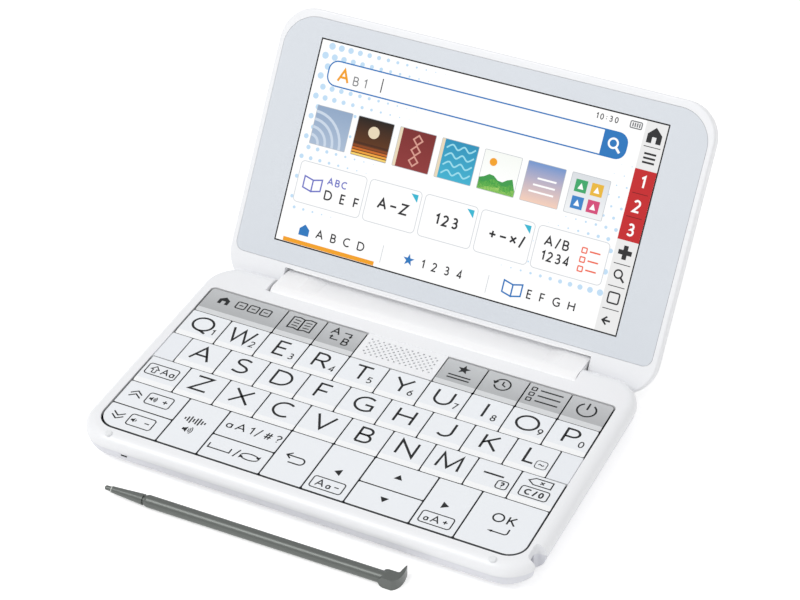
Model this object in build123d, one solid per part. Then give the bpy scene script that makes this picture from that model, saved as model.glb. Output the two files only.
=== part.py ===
from build123d import *
import math
import os

# Pocket electronic dictionary: keyboard half, display half and a link hinge that lets the
# display fold right round. Millimetres, +Z up, +X to the user's right, the user sits at -Y.
# Origin: centre of the whole open object's footprint, on the surface it stands on. The parts
# are drawn about the middle of the keyboard half and moved there when they are written.

os.makedirs("parts", exist_ok=True)

# ---------------------------------------------------------------- overall case
WIDTH = 151.9                # width of both halves
DEPTH = 94.9                 # depth of both halves
CORNER_R = 12.0              # plan corner radius of both halves
FOOT_H = 0.8                 # rubber feet below the case
BASE_H = 10.2                # keyboard half, bottom face to rim
BASE_TOP_R = 3.4             # rounding of the upper outer edge
BASE_BOTTOM_R = 6.0          # rounding of the lower outer edge
LOWER_CASE_H = 6.4           # bottom face to the parting line
LOWER_INSET = 0.3            # lower case half inside the outline of the upper
PARTING_GROOVE = 0.2         # height of the groove along the parting line
PARTING_DEPTH = 0.5          # depth of that groove behind the lower half's face
CAVITY_REAR_R = 5.0          # rear corners of the hollow
CASE_WALL = 1.8              # side walls of the keyboard half
FLOOR_T = 1.4                # bottom plate
TOP_PLATE_T = 1.4            # plate around the keys

# ---------------------------------------------------------------- keyboard
COLUMNS = 10
LETTER_ROWS = 3
ROW_UPPER_HALF = 11.45       # upper half row of the front band
ROW_LOWER_HALF = 10.46       # lower half row of the front band
ROW_FUNCTION = 12.75         # grey function row
KEY_DROP = 0.15              # key tops below the rim
KEY_GAP = 0.45               # gap between neighbouring keys
KEY_EDGE = 0.4               # gap from the key grid to the opening's sides and rear
FRONT_EDGE = 0.7             # gap from the key grid to the opening's front
FIELD_SEAM_DEPTH = 0.8       # seam at the outer side of the two blank fields
BORDER_FRONT = 5.25          # rim in front of the keys
BORDER_SIDE = 5.2            # side of the case to the key grid
BORDER_REAR = 5.51           # rim between the keys and the hinge notch
KEY_T = 1.3                  # thickness of a key cap
KEY_TRAVEL = 0.8             # stroke of a key
KEY_CORNER_R = 0.5           # vertical edges of a key cap
KEY_EDGE_R = 0.12            # rounding of a key's top edge
KEY_BEVEL = 2.1              # sloped strip along the front edge of a letter key
KEY_BEVEL_DROP = 0.2         # how far that strip falls
OPENING_FRONT_R = 6.5        # front corners of the keyboard opening
OPENING_REAR_R = 1.8         # rear corners of the keyboard opening
STEM_D = 2.0                 # plunger under each key
STEM_H = 0.6
STEM_INSET = 1.6             # plunger centre to the key edge where the key covers the pen silo

# ---------------------------------------------------------------- hinge
AXIS_REAR = 4.4              # hinge axes to the rear face
AXIS_RIM = 5.1               # lower axis below the rim
CLOSED_GAP = 0.9             # rim to display half when closed
LID_T = 7.4                  # thickness of the display half
LINK_R = 4.4                 # radius of the link round its axes
LINK_END_GAP = 0.6           # link end to the side of the notch
LINK_FACE_GAP = 0.25         # link to the keyboard half's notch wall
LID_NOTCH_GAP = 0.7          # link to the display half's notch wall
NOTCH_W = 109.2              # width of the notches
SCOOP_W = 86.0               # shallow scoop along the middle of the link
SCOOP_DEPTH = 1.4
SCOOP_SLOPE = 5.5            # run of the scoop's ends
SCOOP_START = 1.2            # scoop's lower edge above the lower axis
PIN_D = 3.0                  # hinge pins
PIN_CLEARANCE = 0.05         # radial, in the bosses of both halves
PIN_IN_LINK = 6.0
PIN_IN_BOSS = 6.0
BOSS_WALL = 2.4              # material round and behind a pin bore
LINK_ANGLE = 98.0            # link turned back from closed
LID_ANGLE = 25.9             # display half turned back from the link

# ---------------------------------------------------------------- display half
LID_BACK_R = 3.4             # rounding of the back edges
LID_FRONT_R = 0.7            # rounding of the face edges
PANEL_T = 0.9
PANEL_TOP = 2.75             # free edge of the half to the grey face panel
PANEL_SIDE = 1.95            # sides of the half to the panel
PANEL_FOOT = 1.45            # panel to the hinge notch
PANEL_FREE_R = 11.0          # panel corners at the free edge
PANEL_HINGE_R = 3.0          # panel corners at the hinge
PANEL_CLEARANCE = 0.1        # panel in its recess
DISPLAY_TOP = 6.2            # panel edge to the visible picture, 5.5 inch, 16:9
DISPLAY_SIDE = 13.1
DISPLAY_BOTTOM = 6.5
DISPLAY_CLEARANCE = 0.05
DISPLAY_SINK = 0.08          # picture below the panel's face
LCD_MARGIN = 3.0             # display module beyond the picture
LCD_T = 2.6
LID_SKIN = 1.6               # back plate of the display half
LCD_LEDGE = 6.0              # ledge that carries the display module

# ---------------------------------------------------------------- inside
BOARD_T = 1.0
BOARD_Z = 4.2                # board's lower face above the case bottom
BOARD_MARGIN = 0.6           # board to the side walls
MAT_T = 0.6                  # rubber key mat
DOME_WALL = 0.5              # dome wider than the plunger, per side
DOME_GAP = 0.9               # dome to plunger at rest
BATTERY_W = 56.0
BATTERY_D = 34.0
BATTERY_CLEARANCE = 0.2
SPEAKER_W = 24.0
SPEAKER_D = 9.0
SPEAKER_GAP = 0.3            # speaker to the grille
GRILLE_COLUMNS = 12
GRILLE_ROWS = 8
GRILLE_PITCH = 2.02
GRILLE_ROW = 1.05            # one row of holes to the next
GRILLE_REAR = 1.95           # last row of holes to the rear edge of the key grid
GRILLE_HOLE_D = 0.75
SCREW_D = 1.6
SCREW_HEAD_D = 3.2
SCREW_HEAD_H = 0.9
SCREW_LENGTH = 6.2
SCREW_BOSS_WALL = 1.2
SCREW_BOSS_GAP = 0.7         # screw post to the front and rear walls
FOOT_W = 12.0
FOOT_D = 4.0
FOOT_INSET = 18.0            # foot centre to the sides
FOOT_FRONT = 11.0            # foot centre to the front and rear
FOOT_SEAT = 0.3              # foot pocket
BUMPER_D = 2.2               # stops on the front rim
BUMPER_H = 0.65
BUMPER_INSET = 12.15         # bumper to the side of the case
BUMPER_SEAT = 0.3

# ---------------------------------------------------------------- ports and microphone, left side
JACK_D = 3.6
JACK_Y = 14.0
JACK_BODY = 6.0
JACK_WALL = 0.6              # body of the jack above and below its bore
USB_W = 7.8
USB_H = 2.4
USB_Y = -4.0
CARD_W = 12.0
CARD_H = 1.2
CARD_Y = -17.0
PORT_CLEARANCE = 0.15        # opening in the wall round a socket
PORT_SETBACK = 0.5           # sockets behind the wall
PORT_DEPTH = 8.0
MIC_INSET = 18.35            # microphone slot to the left side
MIC_W = 2.2
MIC_H = 0.8
MIC_GAP = 0.4                # microphone behind the front wall
JACK_POCKET = 0.1            # relief of the wall round the jack's body

# ---------------------------------------------------------------- pen and its silo
PEN_D = 3.9
PEN_LENGTH = 98.2            # nib to the end of the head
PEN_NIB_D = 1.5
PEN_NIB_L = 2.2
PEN_CONE_L = 11.2
PEN_CONE_SMALL_D = 2.0
PEN_CONE_LARGE_D = 3.5
PEN_GROOVE_L = 0.9
PEN_GROOVE_D = 2.6
PEN_SHOULDER_L = 0.6
PEN_HEAD_L = 6.3
PEN_HEAD_FRONT = 2.3         # pen's axis to the flat front of its head
PEN_HEAD_REAR = 1.9          # pen's axis to the rear of its head, beside the blade
PEN_BLADE = 5.8              # pen's axis to the tip of the blade
PEN_BLADE_T = 1.0
PEN_RIDGE = 0.25             # chamfer along the head's outer edge
PEN_NIB_X = -58.1            # nib's end, where the pen lies
PEN_Y = -57.8                # pen's axis at the nib
PEN_TURN = 0.8               # pen turned from the keyboard's front
SILO_CLEARANCE = 0.15        # radial, pen in its silo
SILO_WALL = 0.6
SILO_Y = 10.45               # silo axis behind the front face
SILO_Z = 4.75                # silo axis above the case bottom
SILO_TIP_GAP = 1.0
NOTCH_DEEP = 3.65            # corner notch for the pen's blade, from the right side
NOTCH_WIDE = 6.6
NOTCH_SHIFT = 0.3            # middle of the notch behind the silo's axis
NOTCH_R = 1.2

# ---------------------------------------------------------------- derived values
BOTTOM_Z = FOOT_H
RIM_Z = BOTTOM_Z + BASE_H
PARTING_Z = BOTTOM_Z + LOWER_CASE_H
FLOOR_Z = BOTTOM_Z + FLOOR_T
PLATE_Z = RIM_Z - TOP_PLATE_T
KEY_Z = RIM_Z - KEY_DROP
KEY_BOTTOM_Z = KEY_Z - KEY_T
FRONT_Y = -DEPTH / 2
REAR_Y = DEPTH / 2
AXIS_Y = REAR_Y - AXIS_REAR
AXIS_Z = RIM_Z - AXIS_RIM
LID_Z = RIM_Z + CLOSED_GAP
LID_AXIS_Z = LID_Z + LID_T / 2
NOTCH_Y = AXIS_Y - LINK_R - LINK_FACE_GAP
LID_NOTCH_Y = AXIS_Y - LINK_R - LID_NOTCH_GAP
INNER_REAR_Y = NOTCH_Y - CASE_WALL
LINK_W = NOTCH_W - 2 * LINK_END_GAP
PITCH = (WIDTH - 2 * BORDER_SIDE) / COLUMNS
GRID_X = -COLUMNS * PITCH / 2
GRID_FRONT_Y = FRONT_Y + BORDER_FRONT + FRONT_EDGE
GRID_REAR_Y = NOTCH_Y - BORDER_REAR - KEY_EDGE
OTHER_ROWS = ROW_LOWER_HALF + ROW_UPPER_HALF + ROW_FUNCTION
ROW_LETTER = (GRID_REAR_Y - GRID_FRONT_Y - OTHER_ROWS) / LETTER_ROWS
HALF_Y = GRID_FRONT_Y + ROW_LOWER_HALF
ROW_Z_Y = HALF_Y + ROW_UPPER_HALF
ROW_A_Y = ROW_Z_Y + ROW_LETTER
ROW_Q_Y = ROW_A_Y + ROW_LETTER
ROW_F_Y = ROW_Q_Y + ROW_LETTER
BOARD_BOTTOM = BOTTOM_Z + BOARD_Z
BOARD_TOP = BOARD_BOTTOM + BOARD_T
SILO_AXIS_Y = FRONT_Y + SILO_Y
SILO_AXIS_Z = BOTTOM_Z + SILO_Z
SILO_R = PEN_D / 2 + SILO_CLEARANCE
NOTCH_X = WIDTH / 2 - NOTCH_DEEP
NOTCH_MID_Y = SILO_AXIS_Y + NOTCH_SHIFT
SILO_MOUTH_X = WIDTH / 2 - PEN_HEAD_L - SILO_CLEARANCE
SILO_DEPTH = PEN_LENGTH - PEN_HEAD_L + SILO_TIP_GAP
SILO_REAR_Y = SILO_AXIS_Y + SILO_R + SILO_WALL
BOARD_FRONT_Y = SILO_REAR_Y + BOARD_MARGIN / 2
KEY_CLEAR_Z = KEY_BOTTOM_Z - KEY_TRAVEL - KEY_DROP
JACK_Z = BOARD_TOP
PORT_Z = BOARD_TOP + USB_H / 2
PORT_X = -WIDTH / 2 + CASE_WALL + PORT_SETBACK
PANEL_FRONT_Y = FRONT_Y + PANEL_TOP
PANEL_W = WIDTH - 2 * PANEL_SIDE
PANEL_H = LID_NOTCH_Y - PANEL_FOOT - PANEL_FRONT_Y
DISPLAY_W = PANEL_W - 2 * DISPLAY_SIDE
DISPLAY_H = PANEL_H - DISPLAY_TOP - DISPLAY_BOTTOM
DISPLAY_FRONT_Y = PANEL_FRONT_Y + DISPLAY_TOP
DISPLAY_CENTRE_Y = DISPLAY_FRONT_Y + DISPLAY_H / 2
PANEL_CENTRE_Y = PANEL_FRONT_Y + PANEL_H / 2
BUMPER_X = WIDTH / 2 - BUMPER_INSET
MIC_X = MIC_INSET - WIDTH / 2
BIG = 2 * WIDTH


# ---------------------------------------------------------------- helpers
def block(x0, x1, y0, y1, z0, z1):
    """Box between two corners."""
    centre = ((x0 + x1) / 2, (y0 + y1) / 2, (z0 + z1) / 2)
    return Pos(*centre) * Box(abs(x1 - x0), abs(y1 - y0), abs(z1 - z0))


def rod(x0, x1, y, z, radius):
    """Cylinder along X."""
    return Pos((x0 + x1) / 2, y, z) * Rot(0, 90, 0) * Cylinder(radius, abs(x1 - x0))


def post(x, y, z0, z1, radius):
    """Cylinder along Z."""
    return Pos(x, y, (z0 + z1) / 2) * Cylinder(radius, z1 - z0)


def slab(x0, x1, y0, y1, z0, z1, radii):
    """Plate with its own radius at each corner: front left, front right, rear right, rear left."""
    corners = [(x0, y0), (x1, y0), (x1, y1), (x0, y1)]
    body = block(x0, x1, y0, y1, z0, z1)
    for (x, y), radius in zip(corners, radii):
        if radius > 0:
            edge = body.edges().filter_by(Axis.Z).sort_by_distance((x, y, (z0 + z1) / 2))[0]
            body = fillet(edge, radius)
    return body


def rim_edges(body, z):
    """Edges that lie in the plane at height z."""
    return [e for e in body.edges() if e.bounding_box().size.Z < 1e-4 and abs(e.center().Z - z) < 1e-4]


def rounded_case(z0, z1, low_r, high_r, inset=0.0):
    """One half of the case as a plain rounded block."""
    half = WIDTH / 2 - inset
    body = slab(-half, half, FRONT_Y + inset, REAR_Y - inset, z0, z1, [CORNER_R - inset] * 4)
    body = fillet(rim_edges(body, z1), high_r)
    return fillet(rim_edges(body, z0), low_r)


def turned(angle, y, z):
    """Rotation about an axis along X through (y, z); a positive angle opens towards the rear."""
    return Pos(0, y, z) * Rot(-angle, 0, 0) * Pos(0, -y, -z)


LINK_POSE = turned(LINK_ANGLE, AXIS_Y, AXIS_Z)
LID_POSE = LINK_POSE * turned(LID_ANGLE, AXIS_Y, LID_AXIS_Z)


# ---------------------------------------------------------------- keys
def key_cells():
    """Name, left and right column, front and rear Y, and style of every moving key."""
    cells = []
    functions = [("home", 0, 2), ("function_1", 2, 3), ("function_2", 3, 4), ("function_3", 6, 7)]
    functions += [("function_4", 7, 8), ("function_5", 8, 9), ("power", 9, 10)]
    for name, left, right in functions:
        cells.append(("key_" + name, left, right, ROW_F_Y, GRID_REAR_Y, "strip"))
    for column, letter in enumerate("qwertyuiop"):
        cells.append(("key_" + letter, column, column + 1, ROW_Q_Y, ROW_F_Y, "strip"))
    for column, letter in enumerate("asdfghjkl"):
        cells.append(("key_" + letter, column + 0.5, column + 1.5, ROW_A_Y, ROW_Q_Y, "strip"))
    for column, letter in enumerate(["shift"] + list("zxcvbnm") + ["dash", "delete"]):
        cells.append(("key_" + letter, column, column + 1, ROW_Z_Y, ROW_A_Y, "strip"))
    uppers = [("page_up", 0, 1.5), ("text_mode", 2.5, 4), ("up", 6, 7.5)]
    for name, left, right in uppers:
        cells.append(("key_" + name, left, right, HALF_Y, ROW_Z_Y, "flat"))
    lowers = [("page_down", 0, 1.5), ("space", 2.5, 4), ("down", 6, 7.5)]
    for name, left, right in lowers:
        cells.append(("key_" + name, left, right, GRID_FRONT_Y, HALF_Y, "flat"))
    talls = [("voice", 1.5, 2.5), ("back", 4, 5), ("left", 5, 6), ("right", 7.5, 8.5), ("enter", 8.5, 10)]
    for name, left, right in talls:
        cells.append(("key_" + name, left, right, GRID_FRONT_Y, ROW_Z_Y, "flat"))
    return cells


def stem_place(cell):
    """Plan position of a key's plunger: the middle, or behind the pen silo."""
    name, left, right, y0, y1, style = cell
    x = GRID_X + PITCH * (left + right) / 2
    y = (y0 + y1) / 2
    clear = SILO_REAR_Y + STEM_D / 2 + DOME_WALL + 0.3
    if y < clear:
        y = max(clear, y1 - STEM_INSET - STEM_D / 2)
    return x, y


def key_cap(cell):
    """One key: cap, strip along its front edge, plunger below."""
    name, left, right, y0, y1, style = cell
    gap = KEY_GAP / 2
    x0 = GRID_X + PITCH * left + gap
    x1 = GRID_X + PITCH * right - gap
    radii = [KEY_CORNER_R] * 4
    outer = OPENING_FRONT_R - KEY_EDGE - gap
    if y0 == GRID_FRONT_Y and left == 0:
        radii[0] = outer
    if y0 == GRID_FRONT_Y and right == COLUMNS:
        radii[1] = outer
    rear = OPENING_REAR_R - KEY_EDGE - gap
    if y1 == GRID_REAR_Y and left == 0:
        radii[3] = rear
    if y1 == GRID_REAR_Y and right == COLUMNS:
        radii[2] = rear
    cap = slab(x0, x1, y0 + gap, y1 - gap, KEY_BOTTOM_Z, KEY_Z, radii)
    if style == "strip":
        cap -= strip_wedge(x0, x1, y0 + gap)
    else:
        cap = fillet(rim_edges(cap, KEY_Z), KEY_EDGE_R)
    x, y = stem_place(cell)
    return cap + post(x, y, KEY_BOTTOM_Z - STEM_H, KEY_BOTTOM_Z + KEY_T / 2, STEM_D / 2)


def strip_wedge(x0, x1, y):
    """Sloped cut along a key's front edge."""
    with BuildSketch(Plane.YZ) as profile:
        with BuildLine():
            Polyline((y, KEY_Z - KEY_BEVEL_DROP), (y + KEY_BEVEL, KEY_Z), (y + KEY_BEVEL, KEY_Z + 1),
                     (y - 1, KEY_Z + 1), (y - 1, KEY_Z - KEY_BEVEL_DROP), close=True)
        make_face()
    wedge = extrude(profile.sketch, (x1 - x0) / 2 + 1, both=True)
    return Pos((x0 + x1) / 2, 0, 0) * wedge


# ---------------------------------------------------------------- keyboard half
def base_block(inset=0.0):
    """Outer shape of the keyboard half, with the hinge notch and the pen notch cut."""
    body = rounded_case(BOTTOM_Z, RIM_Z, BASE_BOTTOM_R, BASE_TOP_R, inset)
    tail = block(-WIDTH, WIDTH, AXIS_Y, REAR_Y + 5, BOTTOM_Z - 5, RIM_Z + 5)
    body -= tail - rod(-WIDTH, WIDTH, AXIS_Y, AXIS_Z, AXIS_RIM)
    body -= block(-NOTCH_W / 2, NOTCH_W / 2, NOTCH_Y, REAR_Y + 5, BOTTOM_Z - 1, RIM_Z + 1)
    return body - pen_notch()


def pen_notch():
    """Finger notch at the right corner, for the upright blade of the stowed pen."""
    cut = block(NOTCH_X, BIG, NOTCH_MID_Y - NOTCH_WIDE / 2, NOTCH_MID_Y + NOTCH_WIDE / 2,
                BOTTOM_Z - 1, RIM_Z + 1)
    edges = [e for e in cut.edges().filter_by(Axis.Z) if abs(e.center().X - NOTCH_X) < 1e-4]
    return fillet(edges, NOTCH_R)


def head_pocket():
    """Pocket between the notch and the silo, where the body of the pen's head goes in."""
    half = PEN_D / 2 + SILO_CLEARANCE
    return block(SILO_MOUTH_X, NOTCH_X + NOTCH_R, SILO_AXIS_Y - half, SILO_AXIS_Y + half,
                 SILO_AXIS_Z - PEN_HEAD_FRONT - SILO_CLEARANCE, SILO_AXIS_Z + PEN_HEAD_REAR + SILO_CLEARANCE)


def cavity():
    """Hollow of the keyboard half, up to the plate around the keys."""
    side = WIDTH / 2 - CASE_WALL
    radii = [CORNER_R - CASE_WALL, CORNER_R - CASE_WALL, CAVITY_REAR_R, CAVITY_REAR_R]
    room = slab(-side, side, FRONT_Y + CASE_WALL, INNER_REAR_Y, FLOOR_Z, PLATE_Z, radii)
    low = fillet(rim_edges(room, FLOOR_Z), BASE_BOTTOM_R - CASE_WALL)
    return fillet(rim_edges(low, PLATE_Z), BASE_TOP_R - CASE_WALL)


def silo_block():
    """Wall round the pen's silo, carried by both case halves."""
    x1 = WIDTH / 2 - CASE_WALL / 2
    x0 = SILO_MOUTH_X - SILO_DEPTH - SILO_WALL
    half = SILO_R + SILO_WALL
    tube = block(x0, x1, SILO_AXIS_Y - half, SILO_AXIS_Y + half, FLOOR_Z - 0.2, SILO_AXIS_Z + half)
    mouth = block(SILO_MOUTH_X - CASE_WALL, x1, NOTCH_MID_Y - NOTCH_WIDE / 2 - CASE_WALL,
                  silo_mouth_rear(), FLOOR_Z - 0.2, PLATE_Z + 0.2)
    return tube + mouth


def silo_mouth_rear():
    """Rear face of the wall round the pen notch."""
    return NOTCH_MID_Y + NOTCH_WIDE / 2 + CASE_WALL


def silo_bore():
    """Bore that the pen slides into, from the right."""
    return rod(SILO_MOUTH_X - SILO_DEPTH, SILO_MOUTH_X + 1, SILO_AXIS_Y, SILO_AXIS_Z, SILO_R)


def keyboard_opening():
    """Opening for the keys; the grille field and the two end fields of row A stay."""
    x0 = GRID_X - KEY_EDGE
    radii = [OPENING_FRONT_R, OPENING_FRONT_R, OPENING_REAR_R, OPENING_REAR_R]
    hole = slab(x0, -x0, FRONT_Y + BORDER_FRONT, GRID_REAR_Y + KEY_EDGE, KEY_CLEAR_Z, RIM_Z + 1, radii)
    for field in fixed_fields():
        hole -= block(*field, KEY_CLEAR_Z - 1, RIM_Z + 2)
    return hole


def fixed_fields():
    """Plan boxes of the fields that belong to the case."""
    gap = KEY_GAP / 2
    grille = (-PITCH + gap, PITCH - gap, ROW_F_Y + gap, GRID_REAR_Y + KEY_EDGE + 1)
    left = (GRID_X - KEY_EDGE - 1, GRID_X + PITCH / 2 - gap, ROW_A_Y + gap, ROW_Q_Y - gap)
    right = (-left[1], -left[0], left[2], left[3])
    return [grille, left, right]


def field_seams():
    """Seams along the outer sides of the two blank fields, in line with the opening's sides."""
    seams = []
    for side in (-1, 1):
        x0 = side * (GRID_X - KEY_EDGE)
        seams.append(block(x0, side * GRID_X, ROW_A_Y, ROW_Q_Y, RIM_Z - FIELD_SEAM_DEPTH, RIM_Z + 1))
    return seams


def grille_middle():
    """Y of the middle of the sound holes."""
    return GRID_REAR_Y - GRILLE_REAR - GRILLE_ROW * (GRILLE_ROWS - 1) / 2


def grille_holes():
    """Staggered sound holes."""
    holes = []
    x0 = -GRILLE_PITCH * (GRILLE_COLUMNS - 0.5) / 2
    y0 = grille_middle() - GRILLE_ROW * (GRILLE_ROWS - 1) / 2
    for row in range(GRILLE_ROWS):
        shift = GRILLE_PITCH / 2 if row % 2 == 0 else 0
        for column in range(GRILLE_COLUMNS):
            x = x0 + shift + column * GRILLE_PITCH
            holes.append(post(x, y0 + row * GRILLE_ROW, PLATE_Z - 1, RIM_Z + 1, GRILLE_HOLE_D / 2))
    return holes


def screw_places():
    """Plan positions of the case screws; the outer heads end where the bottom starts to round."""
    inset = SCREW_HEAD_D / 2 + SCREW_BOSS_WALL + SCREW_BOSS_GAP
    x = WIDTH / 2 - LOWER_INSET - BASE_BOTTOM_R - SCREW_HEAD_D / 2
    front = silo_mouth_rear() + inset
    rear = INNER_REAR_Y - inset
    return [(-x, front), (x, front), (-x, rear), (x, rear), (-x / 3, rear), (x / 3, rear)]


def foot_places():
    """Plan positions of the rubber feet."""
    x = WIDTH / 2 - FOOT_INSET
    y = DEPTH / 2 - FOOT_FRONT
    return [(-x, -y), (x, -y), (-x, y), (x, y)]


def foot_solid(x, y, grow):
    """Long rubber foot, or its pocket when grow is above zero."""
    half = FOOT_D / 2 + grow
    x0 = x - FOOT_W / 2 - grow
    return slab(x0, x + FOOT_W / 2 + grow, y - half, y + half, 0, BOTTOM_Z + FOOT_SEAT, [half - 0.05] * 4)


def hinge_boss(side):
    """Solid corner of the keyboard half round the hinge pin."""
    x0 = side * NOTCH_W / 2
    x1 = side * (NOTCH_W / 2 + PIN_IN_BOSS + BOSS_WALL)
    return block(x0, x1, INNER_REAR_Y, REAR_Y + 1, BOTTOM_Z - 1, RIM_Z + 1)


def pin_bores(z, x_start, length, radius):
    """Bores for the two pins of one axis."""
    bores = []
    for side in (-1, 1):
        bores.append(rod(side * x_start, side * (x_start + length), AXIS_Y, z, radius))
    return bores


def port_cuts():
    """Openings in the left wall for the earphone jack, the data socket and the card."""
    x0 = -WIDTH / 2 - 1
    x1 = -WIDTH / 2 + CASE_WALL + 1
    mid = PORT_Z
    cuts = [rod(x0, x1, JACK_Y, JACK_Z, JACK_D / 2)]
    grow = PORT_CLEARANCE
    cuts.append(block(x0, x1, USB_Y - USB_W / 2 - grow, USB_Y + USB_W / 2 + grow,
                      mid - USB_H / 2 - grow, mid + USB_H / 2 + grow))
    cuts.append(block(x0, x1, CARD_Y - CARD_W / 2 - grow, CARD_Y + CARD_W / 2 + grow,
                      mid - CARD_H / 2 - grow, mid + CARD_H / 2 + grow))
    return cuts


def screw_bosses(z0, z1):
    """Posts that the case screws go through."""
    radius = SCREW_HEAD_D / 2 + SCREW_BOSS_WALL
    return [post(x, y, z0, z1, radius) for x, y in screw_places()]


def jack_space(grow):
    """Space of the earphone jack's body on the board, grown on every side."""
    radius = JACK_D / 2 + JACK_WALL + grow
    half = JACK_BODY / 2 + grow
    return block(PORT_X - grow, PORT_X + PORT_DEPTH, JACK_Y - half, JACK_Y + half,
                 JACK_Z - radius, JACK_Z + radius)


def screw_webs(z0, z1):
    """Webs that carry the outer screw posts from the side walls."""
    webs = []
    for x, y in screw_places():
        if abs(x) > WIDTH / 4:
            wall = math.copysign(WIDTH / 2 - CASE_WALL / 2, x)
            webs.append(block(x, wall, y - SCREW_BOSS_WALL, y + SCREW_BOSS_WALL, z0, z1))
    return webs


def half_shell(inset, bosses):
    """Hollow body with pen silo, hinge bosses and screw posts, still over the full height."""
    body = base_block(inset)
    extra = silo_block() + hinge_boss(-1) + hinge_boss(1)
    for boss in bosses:
        extra += boss
    shell = body - cavity() + (extra & body)
    shell -= silo_bore()
    shell -= head_pocket()
    shell -= pin_bores(AXIS_Z, NOTCH_W / 2 - 1, PIN_IN_BOSS + 1.5, PIN_D / 2 + PIN_CLEARANCE)
    return shell - port_cuts()


def make_upper_case():
    """Upper half of the keyboard case: rim, low walls, grille field, two blank fields."""
    bosses = screw_bosses(PARTING_Z, PLATE_Z) + screw_webs(PARTING_Z, KEY_CLEAR_Z)
    shell = half_shell(0.0, bosses)
    shell -= keyboard_opening()
    opening = slab(GRID_X - KEY_EDGE, -GRID_X + KEY_EDGE, FRONT_Y + BORDER_FRONT, GRID_REAR_Y + KEY_EDGE,
                   KEY_Z, RIM_Z + 1, [OPENING_FRONT_R, OPENING_FRONT_R, OPENING_REAR_R, OPENING_REAR_R])
    for field in fixed_fields():
        shell -= block(*field, KEY_Z, RIM_Z + 1) & opening
    shell -= field_seams()
    shell -= grille_holes()
    for x in (-BUMPER_X, BUMPER_X):
        shell -= post(x, bumper_y(), RIM_Z - BUMPER_SEAT, RIM_Z + 1, BUMPER_D / 2)
    shell -= block(-BIG, BIG, -BIG, BIG, BOTTOM_Z - 5, PARTING_Z)
    for boss in screw_bosses(BOARD_TOP, PARTING_Z + 0.5):
        shell += boss
    for x, y in screw_places():
        shell -= post(x, y, BOTTOM_Z, screw_tip_z(), SCREW_D / 2)
    return shell


def make_lower_case():
    """Lower half of the keyboard case: bottom plate, side walls, screw posts, lower half of the ports."""
    shell = half_shell(LOWER_INSET, screw_bosses(FLOOR_Z - 0.2, BOARD_BOTTOM))
    shell -= block(-BIG, BIG, -BIG, BIG, PARTING_Z, RIM_Z + 5)
    shell -= jack_space(JACK_POCKET)
    shell -= block(MIC_X - MIC_W / 2, MIC_X + MIC_W / 2, FRONT_Y - 1, FRONT_Y + CASE_WALL + 0.5,
                   BOARD_TOP - MIC_H / 2, BOARD_TOP + MIC_H / 2)
    for x, y in screw_places():
        shell -= post(x, y, BOTTOM_Z - 1, BOARD_BOTTOM + 1, SCREW_D / 2)
        shell -= post(x, y, BOTTOM_Z - 1, BOTTOM_Z + SCREW_HEAD_H, SCREW_HEAD_D / 2)
    for x, y in foot_places():
        shell -= foot_solid(x, y, 0.0)
    return shell - parting_groove()


def parting_groove():
    """Fine groove round the outside, under the edge of the upper half."""
    inset = LOWER_INSET + PARTING_DEPTH
    half = WIDTH / 2 - inset
    z0 = PARTING_Z - PARTING_GROOVE
    core = slab(-half, half, FRONT_Y + inset, REAR_Y - inset, z0 - 1, PARTING_Z + 1, [CORNER_R - inset] * 4)
    return block(-WIDTH, WIDTH, -DEPTH, DEPTH, z0, PARTING_Z) - core


def bumper_y():
    """Bumpers sit in the middle of the front rim."""
    return FRONT_Y + BORDER_FRONT / 2 - 0.1


def screw_tip_z():
    """Highest point of a case screw."""
    return BOTTOM_Z + SCREW_HEAD_H + SCREW_LENGTH


def make_screws():
    """Six self-tapping screws from below."""
    screws = []
    for x, y in screw_places():
        head = post(x, y, BOTTOM_Z + 0.1, BOTTOM_Z + SCREW_HEAD_H, SCREW_HEAD_D / 2 - 0.1)
        recess = block(x - 0.9, x + 0.9, y - 0.2, y + 0.2, BOTTOM_Z, BOTTOM_Z + 0.5)
        cross = block(x - 0.2, x + 0.2, y - 0.9, y + 0.9, BOTTOM_Z, BOTTOM_Z + 0.5)
        shank = post(x, y, BOTTOM_Z + SCREW_HEAD_H - 0.1, screw_tip_z(), SCREW_D / 2)
        screws.append(head + shank - recess - cross)
    return Compound(screws)


def make_rubber():
    """Four feet and the two stops on the front rim."""
    solids = [foot_solid(x, y, 0.0) for x, y in foot_places()]
    for x in (-BUMPER_X, BUMPER_X):
        stop = post(x, bumper_y(), RIM_Z - BUMPER_SEAT, RIM_Z + BUMPER_H, BUMPER_D / 2)
        solids.append(fillet(rim_edges(stop, RIM_Z + BUMPER_H), BUMPER_H * 0.6))
    return Compound(solids)


# ---------------------------------------------------------------- inside the keyboard half
def board_outline(z0, z1):
    """Main board's outline between two heights."""
    side = WIDTH / 2 - CASE_WALL - BOARD_MARGIN
    rear = INNER_REAR_Y - BOARD_MARGIN
    rear_r = CAVITY_REAR_R - BOARD_MARGIN
    return slab(-side, side, BOARD_FRONT_Y, rear, z0, z1, [1.0, 1.0, rear_r, rear_r])


def socket(y, width, opening, wall):
    """Metal socket on the board, open to the left."""
    x1 = PORT_X + PORT_DEPTH
    body = block(PORT_X, x1, y - width / 2, y + width / 2, BOARD_TOP, BOARD_TOP + USB_H)
    half = width / 2 - wall
    return body - block(PORT_X - 1, x1 - 2, y - half, y + half, PORT_Z - opening / 2, PORT_Z + opening / 2)


def mouth_clearance():
    """Corner that the board and the mat leave free for the wall round the pen notch."""
    x = SILO_MOUTH_X - CASE_WALL - BOARD_MARGIN / 2
    return block(x, BIG, -BIG, silo_mouth_rear() + BOARD_MARGIN / 2, BOTTOM_Z, RIM_Z)


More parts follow.
